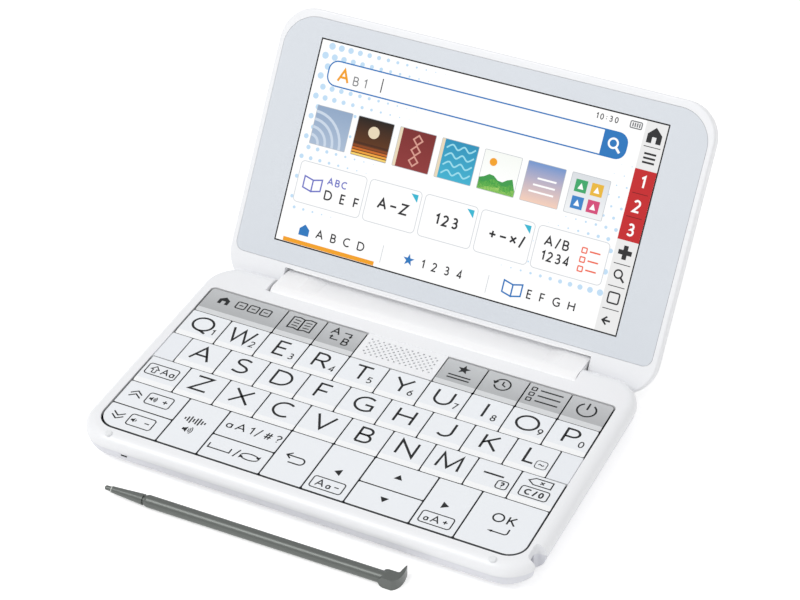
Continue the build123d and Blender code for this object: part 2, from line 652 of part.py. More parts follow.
def make_board():
    """Main board with speaker, earphone jack, data socket, card slot and microphone."""
    board = board_outline(BOARD_BOTTOM, BOARD_TOP) - mouth_clearance()
    for x, y in screw_places():
        board -= post(x, y, BOARD_BOTTOM - 1, BOARD_TOP + 1, SCREW_D / 2 + 0.2)
    mid_y = grille_middle()
    speaker = slab(-SPEAKER_W / 2, SPEAKER_W / 2, mid_y - SPEAKER_D / 2, mid_y + SPEAKER_D / 2,
                   BOARD_TOP, PLATE_Z - SPEAKER_GAP, [2.0] * 4)
    board -= jack_space(0.0)
    jack = jack_space(0.0) - rod(PORT_X - 1, PORT_X + PORT_DEPTH - 1, JACK_Y, JACK_Z, JACK_D / 2)
    usb = socket(USB_Y, USB_W, USB_H - 0.8, 0.4)
    card = socket(CARD_Y, CARD_W + 1.0, CARD_H, 0.5)
    y0 = FRONT_Y + CASE_WALL + MIC_GAP
    mic = block(MIC_X - 2, MIC_X + 2, y0, y0 + 1.5, BOARD_BOTTOM, BOARD_TOP + 1.5)
    return Compound([board, speaker, jack, usb, card, mic])


def make_battery():
    """Flat battery on the bottom plate, under the board."""
    top = BOARD_BOTTOM - BATTERY_CLEARANCE
    return slab(-BATTERY_W / 2, BATTERY_W / 2, -BATTERY_D / 2, BATTERY_D / 2, FLOOR_Z, top, [2.0] * 4)


def make_key_mat():
    """Rubber mat on the board, with a dome under every plunger."""
    side = -GRID_X - 0.5
    mat = slab(-side, side, BOARD_FRONT_Y, GRID_REAR_Y - 1, BOARD_TOP, BOARD_TOP + MAT_T, [1.0] * 4)
    mat -= mouth_clearance()
    grille = PITCH + 1.0
    mat -= block(-grille, grille, ROW_F_Y - 0.5, GRID_REAR_Y, BOARD_TOP - 1, BOARD_TOP + 2)
    port_x = -WIDTH / 2 + CASE_WALL + PORT_DEPTH + 0.8
    mat -= block(-WIDTH, port_x, CARD_Y - CARD_W / 2 - 1, JACK_Y + JACK_BODY / 2 + 1,
                 BOARD_TOP - 1, BOARD_TOP + 2)
    for x, y in screw_places():
        mat -= post(x, y, BOARD_TOP - 1, BOARD_TOP + 2, SCREW_HEAD_D / 2 + SCREW_BOSS_WALL + 0.3)
    top = KEY_BOTTOM_Z - STEM_H - DOME_GAP
    for cell in key_cells():
        x, y = stem_place(cell)
        mat += post(x, y, BOARD_TOP, top, STEM_D / 2 + DOME_WALL)
    return mat


# ---------------------------------------------------------------- link and pins
def make_link():
    """Link that carries both hinge axes, scooped along its middle."""
    x0 = -LINK_W / 2
    body = rod(x0, -x0, AXIS_Y, AXIS_Z, LINK_R) + rod(x0, -x0, AXIS_Y, LID_AXIS_Z, LINK_R)
    body += block(x0, -x0, AXIS_Y - LINK_R, AXIS_Y + LINK_R, AXIS_Z, LID_AXIS_Z)
    body -= scoop()
    ends = pin_bores(AXIS_Z, LINK_W / 2 - PIN_IN_LINK, PIN_IN_LINK + 1, PIN_D / 2)
    ends += pin_bores(LID_AXIS_Z, LINK_W / 2 - PIN_IN_LINK, PIN_IN_LINK + 1, PIN_D / 2)
    return body - ends


def scoop():
    """Shallow trough across the link's front face."""
    face = AXIS_Y - LINK_R
    half = SCOOP_W / 2
    with BuildSketch(Plane.XY.offset(AXIS_Z + SCOOP_START)) as profile:
        with BuildLine():
            Polyline((-half - SCOOP_SLOPE, face - 1), (-half - SCOOP_SLOPE / 2, face),
                     (-half + SCOOP_SLOPE / 2, face + SCOOP_DEPTH), (half - SCOOP_SLOPE / 2, face + SCOOP_DEPTH),
                     (half + SCOOP_SLOPE / 2, face), (half + SCOOP_SLOPE, face - 1), close=True)
        make_face()
    return extrude(profile.sketch, LID_AXIS_Z - AXIS_Z + LINK_R)


def make_pins():
    """Four pins, pressed into the link, that both halves turn on."""
    pins = []
    start = LINK_W / 2 - PIN_IN_LINK
    stop = NOTCH_W / 2 + PIN_IN_BOSS
    for z in (AXIS_Z, LID_AXIS_Z):
        for side in (-1, 1):
            pins.append(rod(side * start, side * stop, AXIS_Y, z, PIN_D / 2))
    return Compound(pins)


# ---------------------------------------------------------------- display half, drawn closed
def lid_block():
    """Outer shape of the display half when closed."""
    body = rounded_case(LID_Z, LID_Z + LID_T, LID_FRONT_R, LID_BACK_R)
    tail = block(-WIDTH, WIDTH, AXIS_Y, REAR_Y + 5, LID_Z - 5, LID_Z + LID_T + 5)
    body -= tail - rod(-WIDTH, WIDTH, AXIS_Y, LID_AXIS_Z, AXIS_REAR)
    return body - block(-NOTCH_W / 2, NOTCH_W / 2, LID_NOTCH_Y, REAR_Y + 5, LID_Z - 1, LID_Z + LID_T + 1)


def panel_plate(grow, z0, z1):
    """Outline of the face panel, grown by a clearance."""
    half = PANEL_W / 2 + grow
    rear = PANEL_FRONT_Y + PANEL_H + grow
    radii = [PANEL_FREE_R + grow, PANEL_FREE_R + grow, PANEL_HINGE_R + grow, PANEL_HINGE_R + grow]
    return slab(-half, half, PANEL_FRONT_Y - grow, rear, z0, z1, radii)


def display_box(grow, z0, z1):
    """Box round the picture, grown on every side."""
    half_w = DISPLAY_W / 2 + grow
    half_h = DISPLAY_H / 2 + grow
    return block(-half_w, half_w, DISPLAY_CENTRE_Y - half_h, DISPLAY_CENTRE_Y + half_h, z0, z1)


def make_lid_shell():
    """Back and rim of the display half, with the pin bores."""
    body = lid_block()
    body -= panel_plate(PANEL_CLEARANCE, LID_Z - 1, LID_Z + PANEL_T)
    body -= display_box(LCD_MARGIN + 0.1, LID_Z, LID_Z + PANEL_T + LCD_T)
    body -= display_box(LCD_MARGIN - LCD_LEDGE, LID_Z, LID_Z + LID_T - LID_SKIN)
    bores = pin_bores(LID_AXIS_Z, NOTCH_W / 2 - 1, PIN_IN_BOSS + 1.5, PIN_D / 2 + PIN_CLEARANCE)
    return body - bores


def make_screen_panel():
    """Grey face panel with the window for the picture."""
    plate = panel_plate(0, LID_Z, LID_Z + PANEL_T)
    plate -= display_box(DISPLAY_CLEARANCE, LID_Z - 1, LID_Z + PANEL_T + 1)
    return plate


def make_lcd_module():
    """Display module; its glass fills the window of the panel."""
    z0 = LID_Z + PANEL_T
    return display_box(LCD_MARGIN, z0, z0 + LCD_T) + display_box(0, LID_Z + DISPLAY_SINK, z0 + 0.1)


# ---------------------------------------------------------------- pen
def pen_head():
    """Head of the pen: round toward the barrel, flat in front, with a thin blade to one side."""
    x0 = PEN_LENGTH - PEN_HEAD_L
    x1 = PEN_LENGTH
    lobe_x = x0 + PEN_D / 2
    depth = PEN_HEAD_FRONT + PEN_HEAD_REAR
    lobe = Pos(lobe_x, (PEN_HEAD_REAR - PEN_HEAD_FRONT) / 2, 0) * Rot(90, 0, 0) * Cylinder(PEN_D / 2, depth)
    with BuildSketch() as profile:
        with BuildLine():
            Polyline((lobe_x, PEN_HEAD_REAR), (lobe_x, -PEN_HEAD_FRONT), (x1 - 2.1, -PEN_HEAD_FRONT))
            Spline((x1 - 2.1, -PEN_HEAD_FRONT), (x1 - 0.8, -1.1), (x1, 1.4), (x1 - 0.05, 3.6), (x1 - 0.5, PEN_BLADE))
            Polyline((x1 - 0.5, PEN_BLADE), (x1 - PEN_BLADE_T, 3.4), (x1 - PEN_BLADE_T - 0.15, 2.2),
                     (x1 - PEN_BLADE_T - 0.5, PEN_HEAD_REAR), (lobe_x, PEN_HEAD_REAR))
        make_face()
    body = Pos(0, 0, -PEN_D / 2) * extrude(profile.sketch, PEN_D)
    outer = [e for e in rim_edges(body, PEN_D / 2) if e.center().X > x1 - 0.7 and e.length > 3]
    return lobe + chamfer(outer, PEN_RIDGE)


def make_pen():
    """Pen on the surface in front of the keyboard: barrel with its head, and the nib."""
    cone0 = PEN_NIB_L
    cone1 = cone0 + PEN_CONE_L
    groove1 = cone1 + PEN_GROOVE_L
    full = groove1 + PEN_SHOULDER_L
    stop = PEN_LENGTH - PEN_HEAD_L + PEN_D / 2
    with BuildSketch(Plane.XZ) as profile:
        with BuildLine():
            Polyline((cone0, 0), (cone0, PEN_CONE_SMALL_D / 2), (cone1, PEN_CONE_LARGE_D / 2),
                     (cone1, PEN_GROOVE_D / 2), (groove1, PEN_GROOVE_D / 2), (groove1, PEN_CONE_LARGE_D / 2),
                     (full, PEN_D / 2), (stop, PEN_D / 2), (stop, 0), close=True)
        make_face()
    barrel = revolve(profile.sketch, Axis.X) + pen_head()
    nib = Pos(PEN_NIB_L / 2, 0, 0) * Rot(0, 90, 0) * Cylinder(PEN_NIB_D / 2, PEN_NIB_L)
    tip = [e for e in nib.edges() if abs(e.center().X) < 1e-4]
    nib = fillet(tip, PEN_NIB_D * 0.42)
    place = Pos(PEN_NIB_X, PEN_Y, PEN_D / 2) * Rot(0, 0, PEN_TURN)
    return Compound([place * barrel, place * nib])


# ---------------------------------------------------------------- export
def all_nodes():
    """Every node by name."""
    nodes = {}
    for cell in key_cells():
        nodes[cell[0]] = key_cap(cell)
    nodes["lower_case"] = make_lower_case()
    nodes["upper_case"] = make_upper_case()
    nodes["screws"] = make_screws()
    nodes["rubber_feet"] = make_rubber()
    nodes["main_board"] = make_board()
    nodes["battery"] = make_battery()
    nodes["key_mat"] = make_key_mat()
    nodes["hinge_link"] = LINK_POSE * make_link()
    nodes["hinge_pins"] = LINK_POSE * make_pins()
    nodes["lid_shell"] = LID_POSE * make_lid_shell()
    nodes["screen_panel"] = LID_POSE * make_screen_panel()
    nodes["lcd_module"] = LID_POSE * make_lcd_module()
    nodes["stylus"] = make_pen()
    return nodes


def footprint_shift(nodes):
    """Move that puts the origin at the middle of the footprint, on the ground."""
    low = [min(tuple(n.bounding_box().min)[i] for n in nodes.values()) for i in range(3)]
    high = [max(tuple(n.bounding_box().max)[i] for n in nodes.values()) for i in range(3)]
    return Pos(-(low[0] + high[0]) / 2, -(low[1] + high[1]) / 2, -low[2])


def write(nodes):
    """Write one STEP file per node, in the frame of the whole object."""
    shift = footprint_shift(nodes)
    for name, shape in nodes.items():
        moved = shift * shape
        moved.label = name
        export_step(moved, "parts/" + name + ".step")
    lower_axis = shift * Pos(0, AXIS_Y, AXIS_Z)
    upper_axis = shift * LINK_POSE * Pos(0, AXIS_Y, LID_AXIS_Z)
    print("origin moved by", shift.position)
    print("lower hinge axis", lower_axis.position, "upper hinge axis", upper_axis.position)


write(all_nodes())
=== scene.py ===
"""Looks of a pocket electronic dictionary: keyboard half, display half, link hinge and pen."""
from __future__ import annotations

import logging
import math
from dataclasses import dataclass, field
from enum import Enum
from functools import partial
from typing import Callable, Iterable, Sequence

import bmesh
import bpy
from mathutils import Matrix, Vector


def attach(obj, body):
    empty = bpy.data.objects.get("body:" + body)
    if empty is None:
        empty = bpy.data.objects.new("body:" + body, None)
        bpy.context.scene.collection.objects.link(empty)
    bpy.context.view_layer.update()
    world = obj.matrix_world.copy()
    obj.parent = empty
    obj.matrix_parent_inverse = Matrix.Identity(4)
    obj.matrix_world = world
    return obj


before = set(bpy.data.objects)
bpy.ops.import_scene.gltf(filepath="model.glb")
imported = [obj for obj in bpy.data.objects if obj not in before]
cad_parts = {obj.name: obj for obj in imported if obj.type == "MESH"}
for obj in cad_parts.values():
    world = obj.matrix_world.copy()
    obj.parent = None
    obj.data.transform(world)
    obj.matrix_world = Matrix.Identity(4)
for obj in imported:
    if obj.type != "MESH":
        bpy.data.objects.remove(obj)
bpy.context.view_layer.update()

LOG = logging.getLogger("dictionary")
MM = 0.001
Point = tuple[float, float]
Place = tuple[float, float, float]
Colour = str  # Six digits of a screen colour, RRGGBB.


def opaque(code: Colour) -> tuple[float, ...]:
    """Turn a screen colour into scene-linear values with full cover.

    Args:
        code: The colour.

    Returns:
        Red, green, blue and cover.
    """
    parts = [int(code[i:i + 2], 16) / 255 for i in (0, 2, 4)]
    return (*(c / 12.92 if c <= 0.04045 else ((c + 0.055) / 1.055) ** 2.4 for c in parts), 1.0)


# ------------------------------------------------------------------ places on the object
@dataclass(frozen=True)
class CaseSizes:
    """Sizes of the two halves that the printed and lit pieces sit on, in millimetres."""

    shift_y: float = -22.6712
    key_top: float = 10.85
    print_rise: float = 0.012
    axis_y: float = 20.3788
    closed_axis_z: float = 15.6
    open_axis_y: float = 29.9844
    open_axis_z: float = 4.55002
    opening: float = 123.9
    lid_face_z: float = 11.9
    glass_sink: float = 0.08
    picture_left: float = -60.9
    picture_bottom_y: float = 30.0
    picture_w: float = 121.8
    picture_h: float = 68.5


CASE = CaseSizes()


def on_keys(x: float, y: float, rise: float) -> Vector:
    """Place a point of the keyboard's top plane.

    Args:
        x: Millimetres to the right of the middle.
        y: Millimetres towards the hinge from the keyboard's middle.
        rise: Millimetres above the key tops.

    Returns:
        The point in metres, in the frame of the object.
    """
    return Vector((x, y + CASE.shift_y, CASE.key_top + CASE.print_rise + rise)) * MM


def on_glass(u: float, w: float, rise: float) -> Vector:
    """Place a point of the picture: on the closed display half, then turned to where that stands open.

    Args:
        u: Millimetres from the picture's left edge.
        w: Millimetres above the picture's lower edge.
        rise: Millimetres above the glass.

    Returns:
        The point in metres, in the frame of the object.
    """
    turn = math.radians(CASE.opening)
    dy = CASE.picture_bottom_y - w + CASE.shift_y - CASE.axis_y
    dz = CASE.lid_face_z + CASE.glass_sink - rise - CASE.closed_axis_z
    open_y = CASE.open_axis_y + dy * math.cos(turn) + dz * math.sin(turn)
    open_z = CASE.open_axis_z - dy * math.sin(turn) + dz * math.cos(turn)
    return Vector((CASE.picture_left + u, open_y, open_z)) * MM


# ------------------------------------------------------------------ node trees
SHADER_TREE = "ShaderNodeTree"
SHAPE_TREE = "GeometryNodeTree"
INK_LAYER = "ink"
BUMP_HEIGHT = 0.04 * MM
CLOUD_SCALE = 28.0
FLAKE_SCALE = 5200.0
# Axis of the normal, its values where a paint begins and is full, and the paint: a painted highlight on the
# front strip, painted shade on the walls.
HIGHLIGHT_STRIP_FACES = ("Y", -0.03, -0.07, "Strip")
SHADED_WALL_FACES = ("Z", 0.70, 0.45, "Wall")
PALE = (0.8, 0.8, 0.8, 1.0)
BLACK = (0.0, 0.0, 0.0, 1.0)
WHITE = (1.0, 1.0, 1.0, 1.0)
Feeds = dict[str | int, object]


def feed(tree: bpy.types.NodeTree, made: bpy.types.Node, feeds: Feeds) -> None:
    """Set or link the inputs of a node.

    Args:
        tree: Tree that holds the node.
        made: The node.
        feeds: Values or sockets by the name or number of the input.
    """
    for key, value in feeds.items():
        if isinstance(value, bpy.types.NodeSocket):
            tree.links.new(value, made.inputs[key])
        else:
            made.inputs[key].default_value = value


def node(tree: bpy.types.NodeTree, kind: str, feeds: Feeds, **settings: object) -> bpy.types.Node:
    """Add one node to a tree.

    Args:
        tree: The tree.
        kind: Type of the node.
        feeds: Values or sockets by the name or number of the input.
        settings: Properties of the node.

    Returns:
        The node.
    """
    made = tree.nodes.new(kind)
    for name, value in settings.items():
        setattr(made, name, value)
    feed(tree, made, feeds)
    return made


def maths(tree: bpy.types.NodeTree, kind: str, *values: object) -> bpy.types.NodeSocket:
    """Add one Math node.

    Args:
        tree: The tree.
        kind: Its operation.
        values: Numbers or sockets.

    Returns:
        Its result.
    """
    return node(tree, "ShaderNodeMath", dict(enumerate(values)), operation=kind).outputs[0]


def mixed(tree: bpy.types.NodeTree, share: object, first: object, last: object,
          blend: str = "MIX") -> bpy.types.NodeSocket:
    """Mix two colours.

    Args:
        tree: The tree.
        share: Share of the last colour.
        first: First colour.
        last: Last colour.
        blend: Way of mixing.

    Returns:
        The mixed colour.
    """
    feeds = {0: share, 6: first, 7: last}
    return node(tree, "ShaderNodeMix", feeds, data_type="RGBA", blend_type=blend).outputs[2]


def open_tree(name: str, kind: str, ways_in: Iterable[tuple],
              ways_out: Iterable[tuple]) -> tuple[bpy.types.NodeTree, bpy.types.bpy_prop_collection]:
    """Start a node tree with named inputs and outputs.

    Args:
        name: Name of the tree.
        kind: Type of the tree.
        ways_in: Name, type and default value of each input.
        ways_out: Name and type of each output.

    Returns:
        The tree, and the sockets that its inputs give inside.
    """
    tree = bpy.data.node_groups.new(name, kind)
    for way, sockets in (("INPUT", ways_in), ("OUTPUT", ways_out)):
        for label, what, *value in sockets:
            item = tree.interface.new_socket(name=label, in_out=way, socket_type="NodeSocket" + what)
            if value:
                item.default_value = value[0]
    return tree, node(tree, "NodeGroupInput", {}).outputs


# ------------------------------------------------------------------ shader effects
class Effect(Enum):
    """Names of the shared shader effects."""

    GRAIN = "moulded_grain"
    SHEEN_BAND = "paint_bands"
    KEY_FACES = "key_faces"
    BOX = "box_mask"


def _grain_effect(name: str) -> bpy.types.NodeTree:
    """Moulded texture: a colour, a roughness and a height that vary over the surface.

    Args:
        name: Name of the group.

    Returns:
        The group.
    """
    tree, enter = open_tree(
        name, SHADER_TREE,
        (("Vector", "Vector"), ("Light", "Color", PALE), ("Shade", "Color", PALE),
         ("Rough Low", "Float", 0.3), ("Rough High", "Float", 0.4), ("Grain Scale", "Float", 2600.0)),
        (("Color", "Color"), ("Roughness", "Float"), ("Height", "Float")))
    fine = node(tree, "ShaderNodeTexNoise",
                {"Vector": enter["Vector"], "Scale": enter["Grain Scale"], "Detail": 3.0}).outputs[0]
    cloud = node(tree, "ShaderNodeTexNoise",
                 {"Vector": enter["Vector"], "Scale": CLOUD_SCALE, "Detail": 2.0}).outputs[0]
    rough = node(tree, "ShaderNodeMapRange",
                 {"Value": fine, "To Min": enter["Rough Low"], "To Max": enter["Rough High"]}).outputs[0]
    node(tree, "NodeGroupOutput", {"Color": mixed(tree, cloud, enter["Light"], enter["Shade"]),
                                   "Roughness": rough, "Height": fine})
    return tree


def _band_effect(name: str) -> bpy.types.NodeTree:
    """Metallic paint: a painted sheen, a colour that runs from front to rear, with fine flakes.

    Args:
        name: Name of the group.

    Returns:
        The group.
    """
    tree, enter = open_tree(
        name, SHADER_TREE,
        (("Vector", "Vector"), ("Front", "Color", PALE), ("Rear", "Color", PALE), ("From Y", "Float", 0.0),
         ("To Y", "Float", 0.01)),
        (("Color", "Color"), ("Height", "Float")))
    split = node(tree, "ShaderNodeSeparateXYZ", {0: enter["Vector"]}).outputs
    ramp = node(tree, "ShaderNodeMapRange",
                {"Value": split["Y"], "From Min": enter["From Y"], "From Max": enter["To Y"]}).outputs[0]
    flakes = node(tree, "ShaderNodeTexVoronoi", {"Vector": enter["Vector"], "Scale": FLAKE_SCALE})
    node(tree, "NodeGroupOutput", {"Color": mixed(tree, ramp, enter["Front"], enter["Rear"]),
                                   "Height": flakes.outputs["Distance"]})
    return tree


def _key_light_effect(name: str) -> bpy.types.NodeTree:
    """Paint of a key by the way its faces look: top, sloping front strip with a painted highlight and upright
    walls with painted shade.

    Args:
        name: Name of the group.

    Returns:
        The group.
    """
    tree, enter = open_tree(
        name, SHADER_TREE,
        (("Normal", "Vector"), ("Top", "Color", PALE), ("Strip", "Color", PALE), ("Wall", "Color", PALE)),
        (("Color", "Color"),))
    split = node(tree, "ShaderNodeSeparateXYZ", {0: enter["Normal"]}).outputs
    shade = enter["Top"]
    for axis, first, last, paint in (HIGHLIGHT_STRIP_FACES, SHADED_WALL_FACES):
        share = node(tree, "ShaderNodeMapRange", {"Value": split[axis], "From Min": first, "From Max": last})
        shade = mixed(tree, share.outputs[0], shade, enter[paint])
    node(tree, "NodeGroupOutput", {"Color": shade})
    return tree


def _box_effect(name: str) -> bpy.types.NodeTree:
    """Mask of a pair of boxes, one on either side of the middle.

    Args:
        name: Name of the group.

    Returns:
        The group.
    """
    tree, enter = open_tree(
        name, SHADER_TREE, (("Vector", "Vector"), ("Centre", "Vector"), ("Half", "Vector")),
        (("Mask", "Float"),))
    apart = node(tree, "ShaderNodeSeparateXYZ", {0: enter["Vector"]}).outputs
    here = node(tree, "ShaderNodeCombineXYZ",
                {"X": maths(tree, "ABSOLUTE", apart["X"]), "Y": apart["Y"], "Z": apart["Z"]}).outputs[0]
    centre, half = enter["Centre"], enter["Half"]
    for kind, others in (("SUBTRACT", {1: centre}), ("ABSOLUTE", {}), ("SUBTRACT", {1: half})):
        here = node(tree, "ShaderNodeVectorMath", {0: here, **others}, operation=kind).outputs[0]
    split = node(tree, "ShaderNodeSeparateXYZ", {0: here}).outputs
    largest = maths(tree, "MAXIMUM", maths(tree, "MAXIMUM", split["X"], split["Y"]), split["Z"])
    node(tree, "NodeGroupOutput", {"Mask": maths(tree, "LESS_THAN", largest, 0.0)})
    return tree


EFFECTS = {Effect.GRAIN: _grain_effect, Effect.SHEEN_BAND: _band_effect, Effect.KEY_FACES: _key_light_effect,
           Effect.BOX: _box_effect}


def effect(tree: bpy.types.NodeTree, which: Effect, feeds: Feeds) -> bpy.types.bpy_prop_collection:
    """Place a shared effect in a material; its group is built once.

    Args:
        tree: Node tree of the material.
        which: The effect.
        feeds: Values or sockets by the name of the input.

    Returns:
        The outputs of the effect.
    """
    group = bpy.data.node_groups.get(which.value) or EFFECTS[which](which.value)
    return node(tree, "ShaderNodeGroup", feeds, node_tree=group).outputs


# ------------------------------------------------------------------ finishes
class Draft:
    """A material that is being built: its tree, its shader and its Object coordinates."""

    def __init__(self, name: str) -> None:
        """Make the material.

        Args:
            name: Its name.
        """
        self.made = bpy.data.materials.new(name)
        self.made.use_nodes = True
        self.tree = self.made.node_tree
        self.shader = next(n for n in self.tree.nodes if n.type == "BSDF_PRINCIPLED")
        self.place = node(self.tree, "ShaderNodeTexCoord", {}).outputs["Object"]

    def bump(self, height: bpy.types.NodeSocket, strength: float) -> None:
        """Let a height raise the surface.

        Args:
            height: Socket that gives the height.
            strength: Strength of the bump.
        """
        raised = node(self.tree, "ShaderNodeBump",
                      {"Strength": strength, "Distance": BUMP_HEIGHT, "Height": height})
        self.tree.links.new(raised.outputs["Normal"], self.shader.inputs["Normal"])


class Coating:
    """A finish whose material is built on first use."""

    name: str

    def material(self) -> bpy.types.Material:
        """Give the material."""
        return bpy.data.materials.get(self.name) or self.build()


@dataclass(frozen=True)
class Finish(Coating):
    """A moulded or painted finish with a fine grain.

    The colours run between light and shade, the roughness between its two ends. A pair of boxes, given
    by the corners of the right-hand one in millimetres, may have another tone; on the lower case that tone
    is painted shade in the sound slots.
    """

    name: str
    light: Colour
    shade: Colour
    rough: tuple[float, float] = (0.3, 0.4)
    grain: float = 2600.0
    bump: float = 0.04
    metallic: float = 0.0
    specular: float = 0.5
    coat: float = 0.0
    coat_rough: float = 0.1
    box: tuple[tuple[float, ...], ...] = ()
    box_tone: tuple[float, ...] = (0.9, 0.9, 0.9, 1.0)

    def build(self) -> bpy.types.Material:
        """Build the material.

        Returns:
            The material.
        """
        draft = Draft(self.name)
        out = effect(draft.tree, Effect.GRAIN, {
            "Vector": draft.place, "Light": opaque(self.light), "Shade": opaque(self.shade),
            "Rough Low": self.rough[0], "Rough High": self.rough[1], "Grain Scale": self.grain})
        colour = self.toned(draft, out["Color"]) if self.box else out["Color"]
        feed(draft.tree, draft.shader, {
            "Base Color": colour, "Roughness": out["Roughness"], "Metallic": self.metallic,
            "Specular IOR Level": self.specular, "Coat Weight": self.coat,
            "Coat Roughness": self.coat_rough})
        draft.bump(out["Height"], self.bump)
        return draft.made

    def toned(self, draft: Draft, colour: bpy.types.NodeSocket) -> bpy.types.NodeSocket:
        """Give the pair of boxes its tone.

        Args:
            draft: The material that is being built.
            colour: Colour of the rest.

        Returns:
            The colour of the whole.
        """
        low, high = (Vector(corner) * MM for corner in self.box)
        mask = effect(draft.tree, Effect.BOX, {
            "Vector": draft.place, "Centre": (low + high) / 2, "Half": (high - low) / 2})
        return mixed(draft.tree, mask["Mask"], colour, self.box_tone, "MULTIPLY")


@dataclass(frozen=True)
class KeyPaint(Coating):
    """Paint of a key: its top with a painted sheen from front to rear, a painted highlight on the strip along
    its front, and painted shade on its walls.
    """

    name: str
    # The front and rear colours are a painted sheen across the top.
    front: Colour
    rear: Colour
    # The strip colour is a painted highlight and the wall colour is painted shade in the gaps between keys.
    strip: Colour
    wall_shade: Colour
    from_y: float = -1.5
    to_y: float = 8.5
    metallic: float = 0.0
    rough: float = 0.38
    bump: float = 0.03

    def build(self) -> bpy.types.Material:
        """Build the material.

        Returns:
            The material.
        """
        draft = Draft(self.name)
        # Painted sheen: the top's colour runs from front to rear; the flakes are real grain.
        paint = effect(draft.tree, Effect.SHEEN_BAND, {
            "Vector": draft.place, "Front": opaque(self.front), "Rear": opaque(self.rear),
            "From Y": self.from_y * MM, "To Y": self.to_y * MM})
        # Painted highlight on the sloping front strip and painted shade on the upright walls.
        faces = effect(draft.tree, Effect.KEY_FACES, {
            "Normal": node(draft.tree, "ShaderNodeNewGeometry", {}).outputs["True Normal"],
            "Top": paint["Color"], "Strip": opaque(self.strip), "Wall": opaque(self.wall_shade)})
        feed(draft.tree, draft.shader, {
            "Base Color": faces["Color"], "Metallic": self.metallic, "Roughness": self.rough})
        draft.bump(paint["Height"], self.bump)
        return draft.made


@dataclass(frozen=True)
class Ink(Coating):
    """Printed or lit colours, read from the piece's own colour attribute."""

    name: str
    glow: float = 0.0
    albedo: float = 1.0
    rough: float = 0.5
    specular: float = 0.3
    grain: float = 4000.0
    bump: float = 0.02

    def build(self) -> bpy.types.Material:
        """Build the material.

        Returns:
            The material.
        """
        draft = Draft(self.name)
        colour = node(draft.tree, "ShaderNodeAttribute", {}, attribute_name=INK_LAYER).outputs["Color"]
        feed(draft.tree, draft.shader, {
            "Base Color": mixed(draft.tree, self.albedo, BLACK, colour),
            "Roughness": self.rough, "Specular IOR Level": self.specular})
        noise = node(draft.tree, "ShaderNodeTexNoise", {"Vector": draft.place, "Scale": self.grain})
        draft.bump(noise.outputs[0], self.bump)
        if self.glow > 0:
            feed(draft.tree, draft.shader, {"Emission Color": colour, "Emission Strength": self.glow})
        return draft.made


BLANK_FIELDS = ((63.8, -29.0, 10.7), (70.7, -16.2, 11.3))
# Pair of sound slots on the lower case, painted near black: painted shade inside the slots.
SOUND_SLOT_SHADE = ((56.2, -69.55, 5.4), (59.0, -64.0, 6.6))
CASE_WHITE = Finish("satin_white_case", "F5F6F8", "F3F4F7", coat=0.15)
UPPER_WHITE = Finish("satin_white_upper_case", "F5F6F8", "F3F4F7", coat=0.15, box=BLANK_FIELDS,
                     box_tone=(0.955, 0.975, 0.995, 1.0))
# Its box tone paints the sound slots near black as painted shade.
LOWER_WHITE = Finish("satin_white_lower_case", "E9EAF0", "E6E7EE", coat=0.15, box=SOUND_SLOT_SHADE,
                     box_tone=(0.02, 0.02, 0.02, 1.0))
# The link is white like the case, painted lighter than the case white as painted light against the shade
# under the lid.
LIT_LINK_WHITE = Finish("satin_white_link_lit", "FDFDFE", "FCFCFD", coat=0.15)
# Both key paints carry a painted sheen on the top, a painted highlight on the front strip and painted shade
# on the walls.
KEY_WHITE = KeyPaint("smooth_white_key", "F1F4F8", "F0F3F7", "FAFBFC", "5C5F62")
KEY_GREY = KeyPaint("function_key_paint", "B8BABC", "CACCCE", "E2E4E6", "0C0D0E", metallic=0.3)
PANEL_GREY = Finish("face_panel_grey", "DEE3E9", "DADFE6", (0.20, 0.28), bump=0.02, coat=0.3)
GLASS_BLACK = Finish("display_border_black", "0B0C0E", "08090A", (0.08, 0.14), bump=0.01)
PEN_GREY = Finish("satin_dark_grey_pen", "6A6E6B", "646865", (0.28, 0.36), bump=0.05, metallic=0.35)
PEN_RING = Finish("pale_pen_ring", "D4D7D3", "CCCFCB", (0.25, 0.35))
RUBBER = Finish("matt_grey_rubber", "EFF1F3", "E9EBED", (0.6, 0.8), 1800.0, 0.12, specular=0.3)
# The key mat is painted dark so that the gaps between keys show painted shade.
GAP_SHADE_SILICONE = Finish("dark_silicone_mat_gap_shade", "3A3C40", "323438", (0.6, 0.75), 1500.0, 0.1)
STEEL = Finish("brushed_steel", "B4B6B8", "9EA0A2", (0.25, 0.45), 900.0, 0.08, metallic=1.0)
BOARD = Finish("green_solder_mask", "1E5B38", "174A2D", (0.3, 0.5), 700.0, 0.15)
WRAP = Finish("black_battery_film", "24262B", "1C1E22", (0.35, 0.5), 600.0, 0.1)
CLOTH = Finish("grey_speaker_cloth", "9C9EA0", "7C7E80", (0.7, 0.9), 5200.0, 0.4)
LEGEND_INK = Ink("legend_ink", 0.0, 1.0, 0.55)
PICTURE_INK = Ink("lit_picture", 0.96, 0.06, 0.16)
DARK = "1C1E20"


# ------------------------------------------------------------------ flat shapes
def arc(cx: float, cy: float, rx: float, ry: float, start: float, stop: float, steps: int = 0) -> list[Point]:
    """Points along an elliptical arc.

    Args:
        cx: Centre X.
        cy: Centre Y.
        rx: Radius along X.
        ry: Radius along Y.
        start: First angle in degrees.
        stop: Last angle in degrees.
        steps: Number of steps, or 0 for one every 12 degrees.

    Returns:
        The points.
    """
    count = steps or max(2, round(abs(stop - start) / 12))
    angles = [math.radians(start + (stop - start) * i / count) for i in range(count + 1)]
    return [(cx + rx * math.cos(a), cy + ry * math.sin(a)) for a in angles]


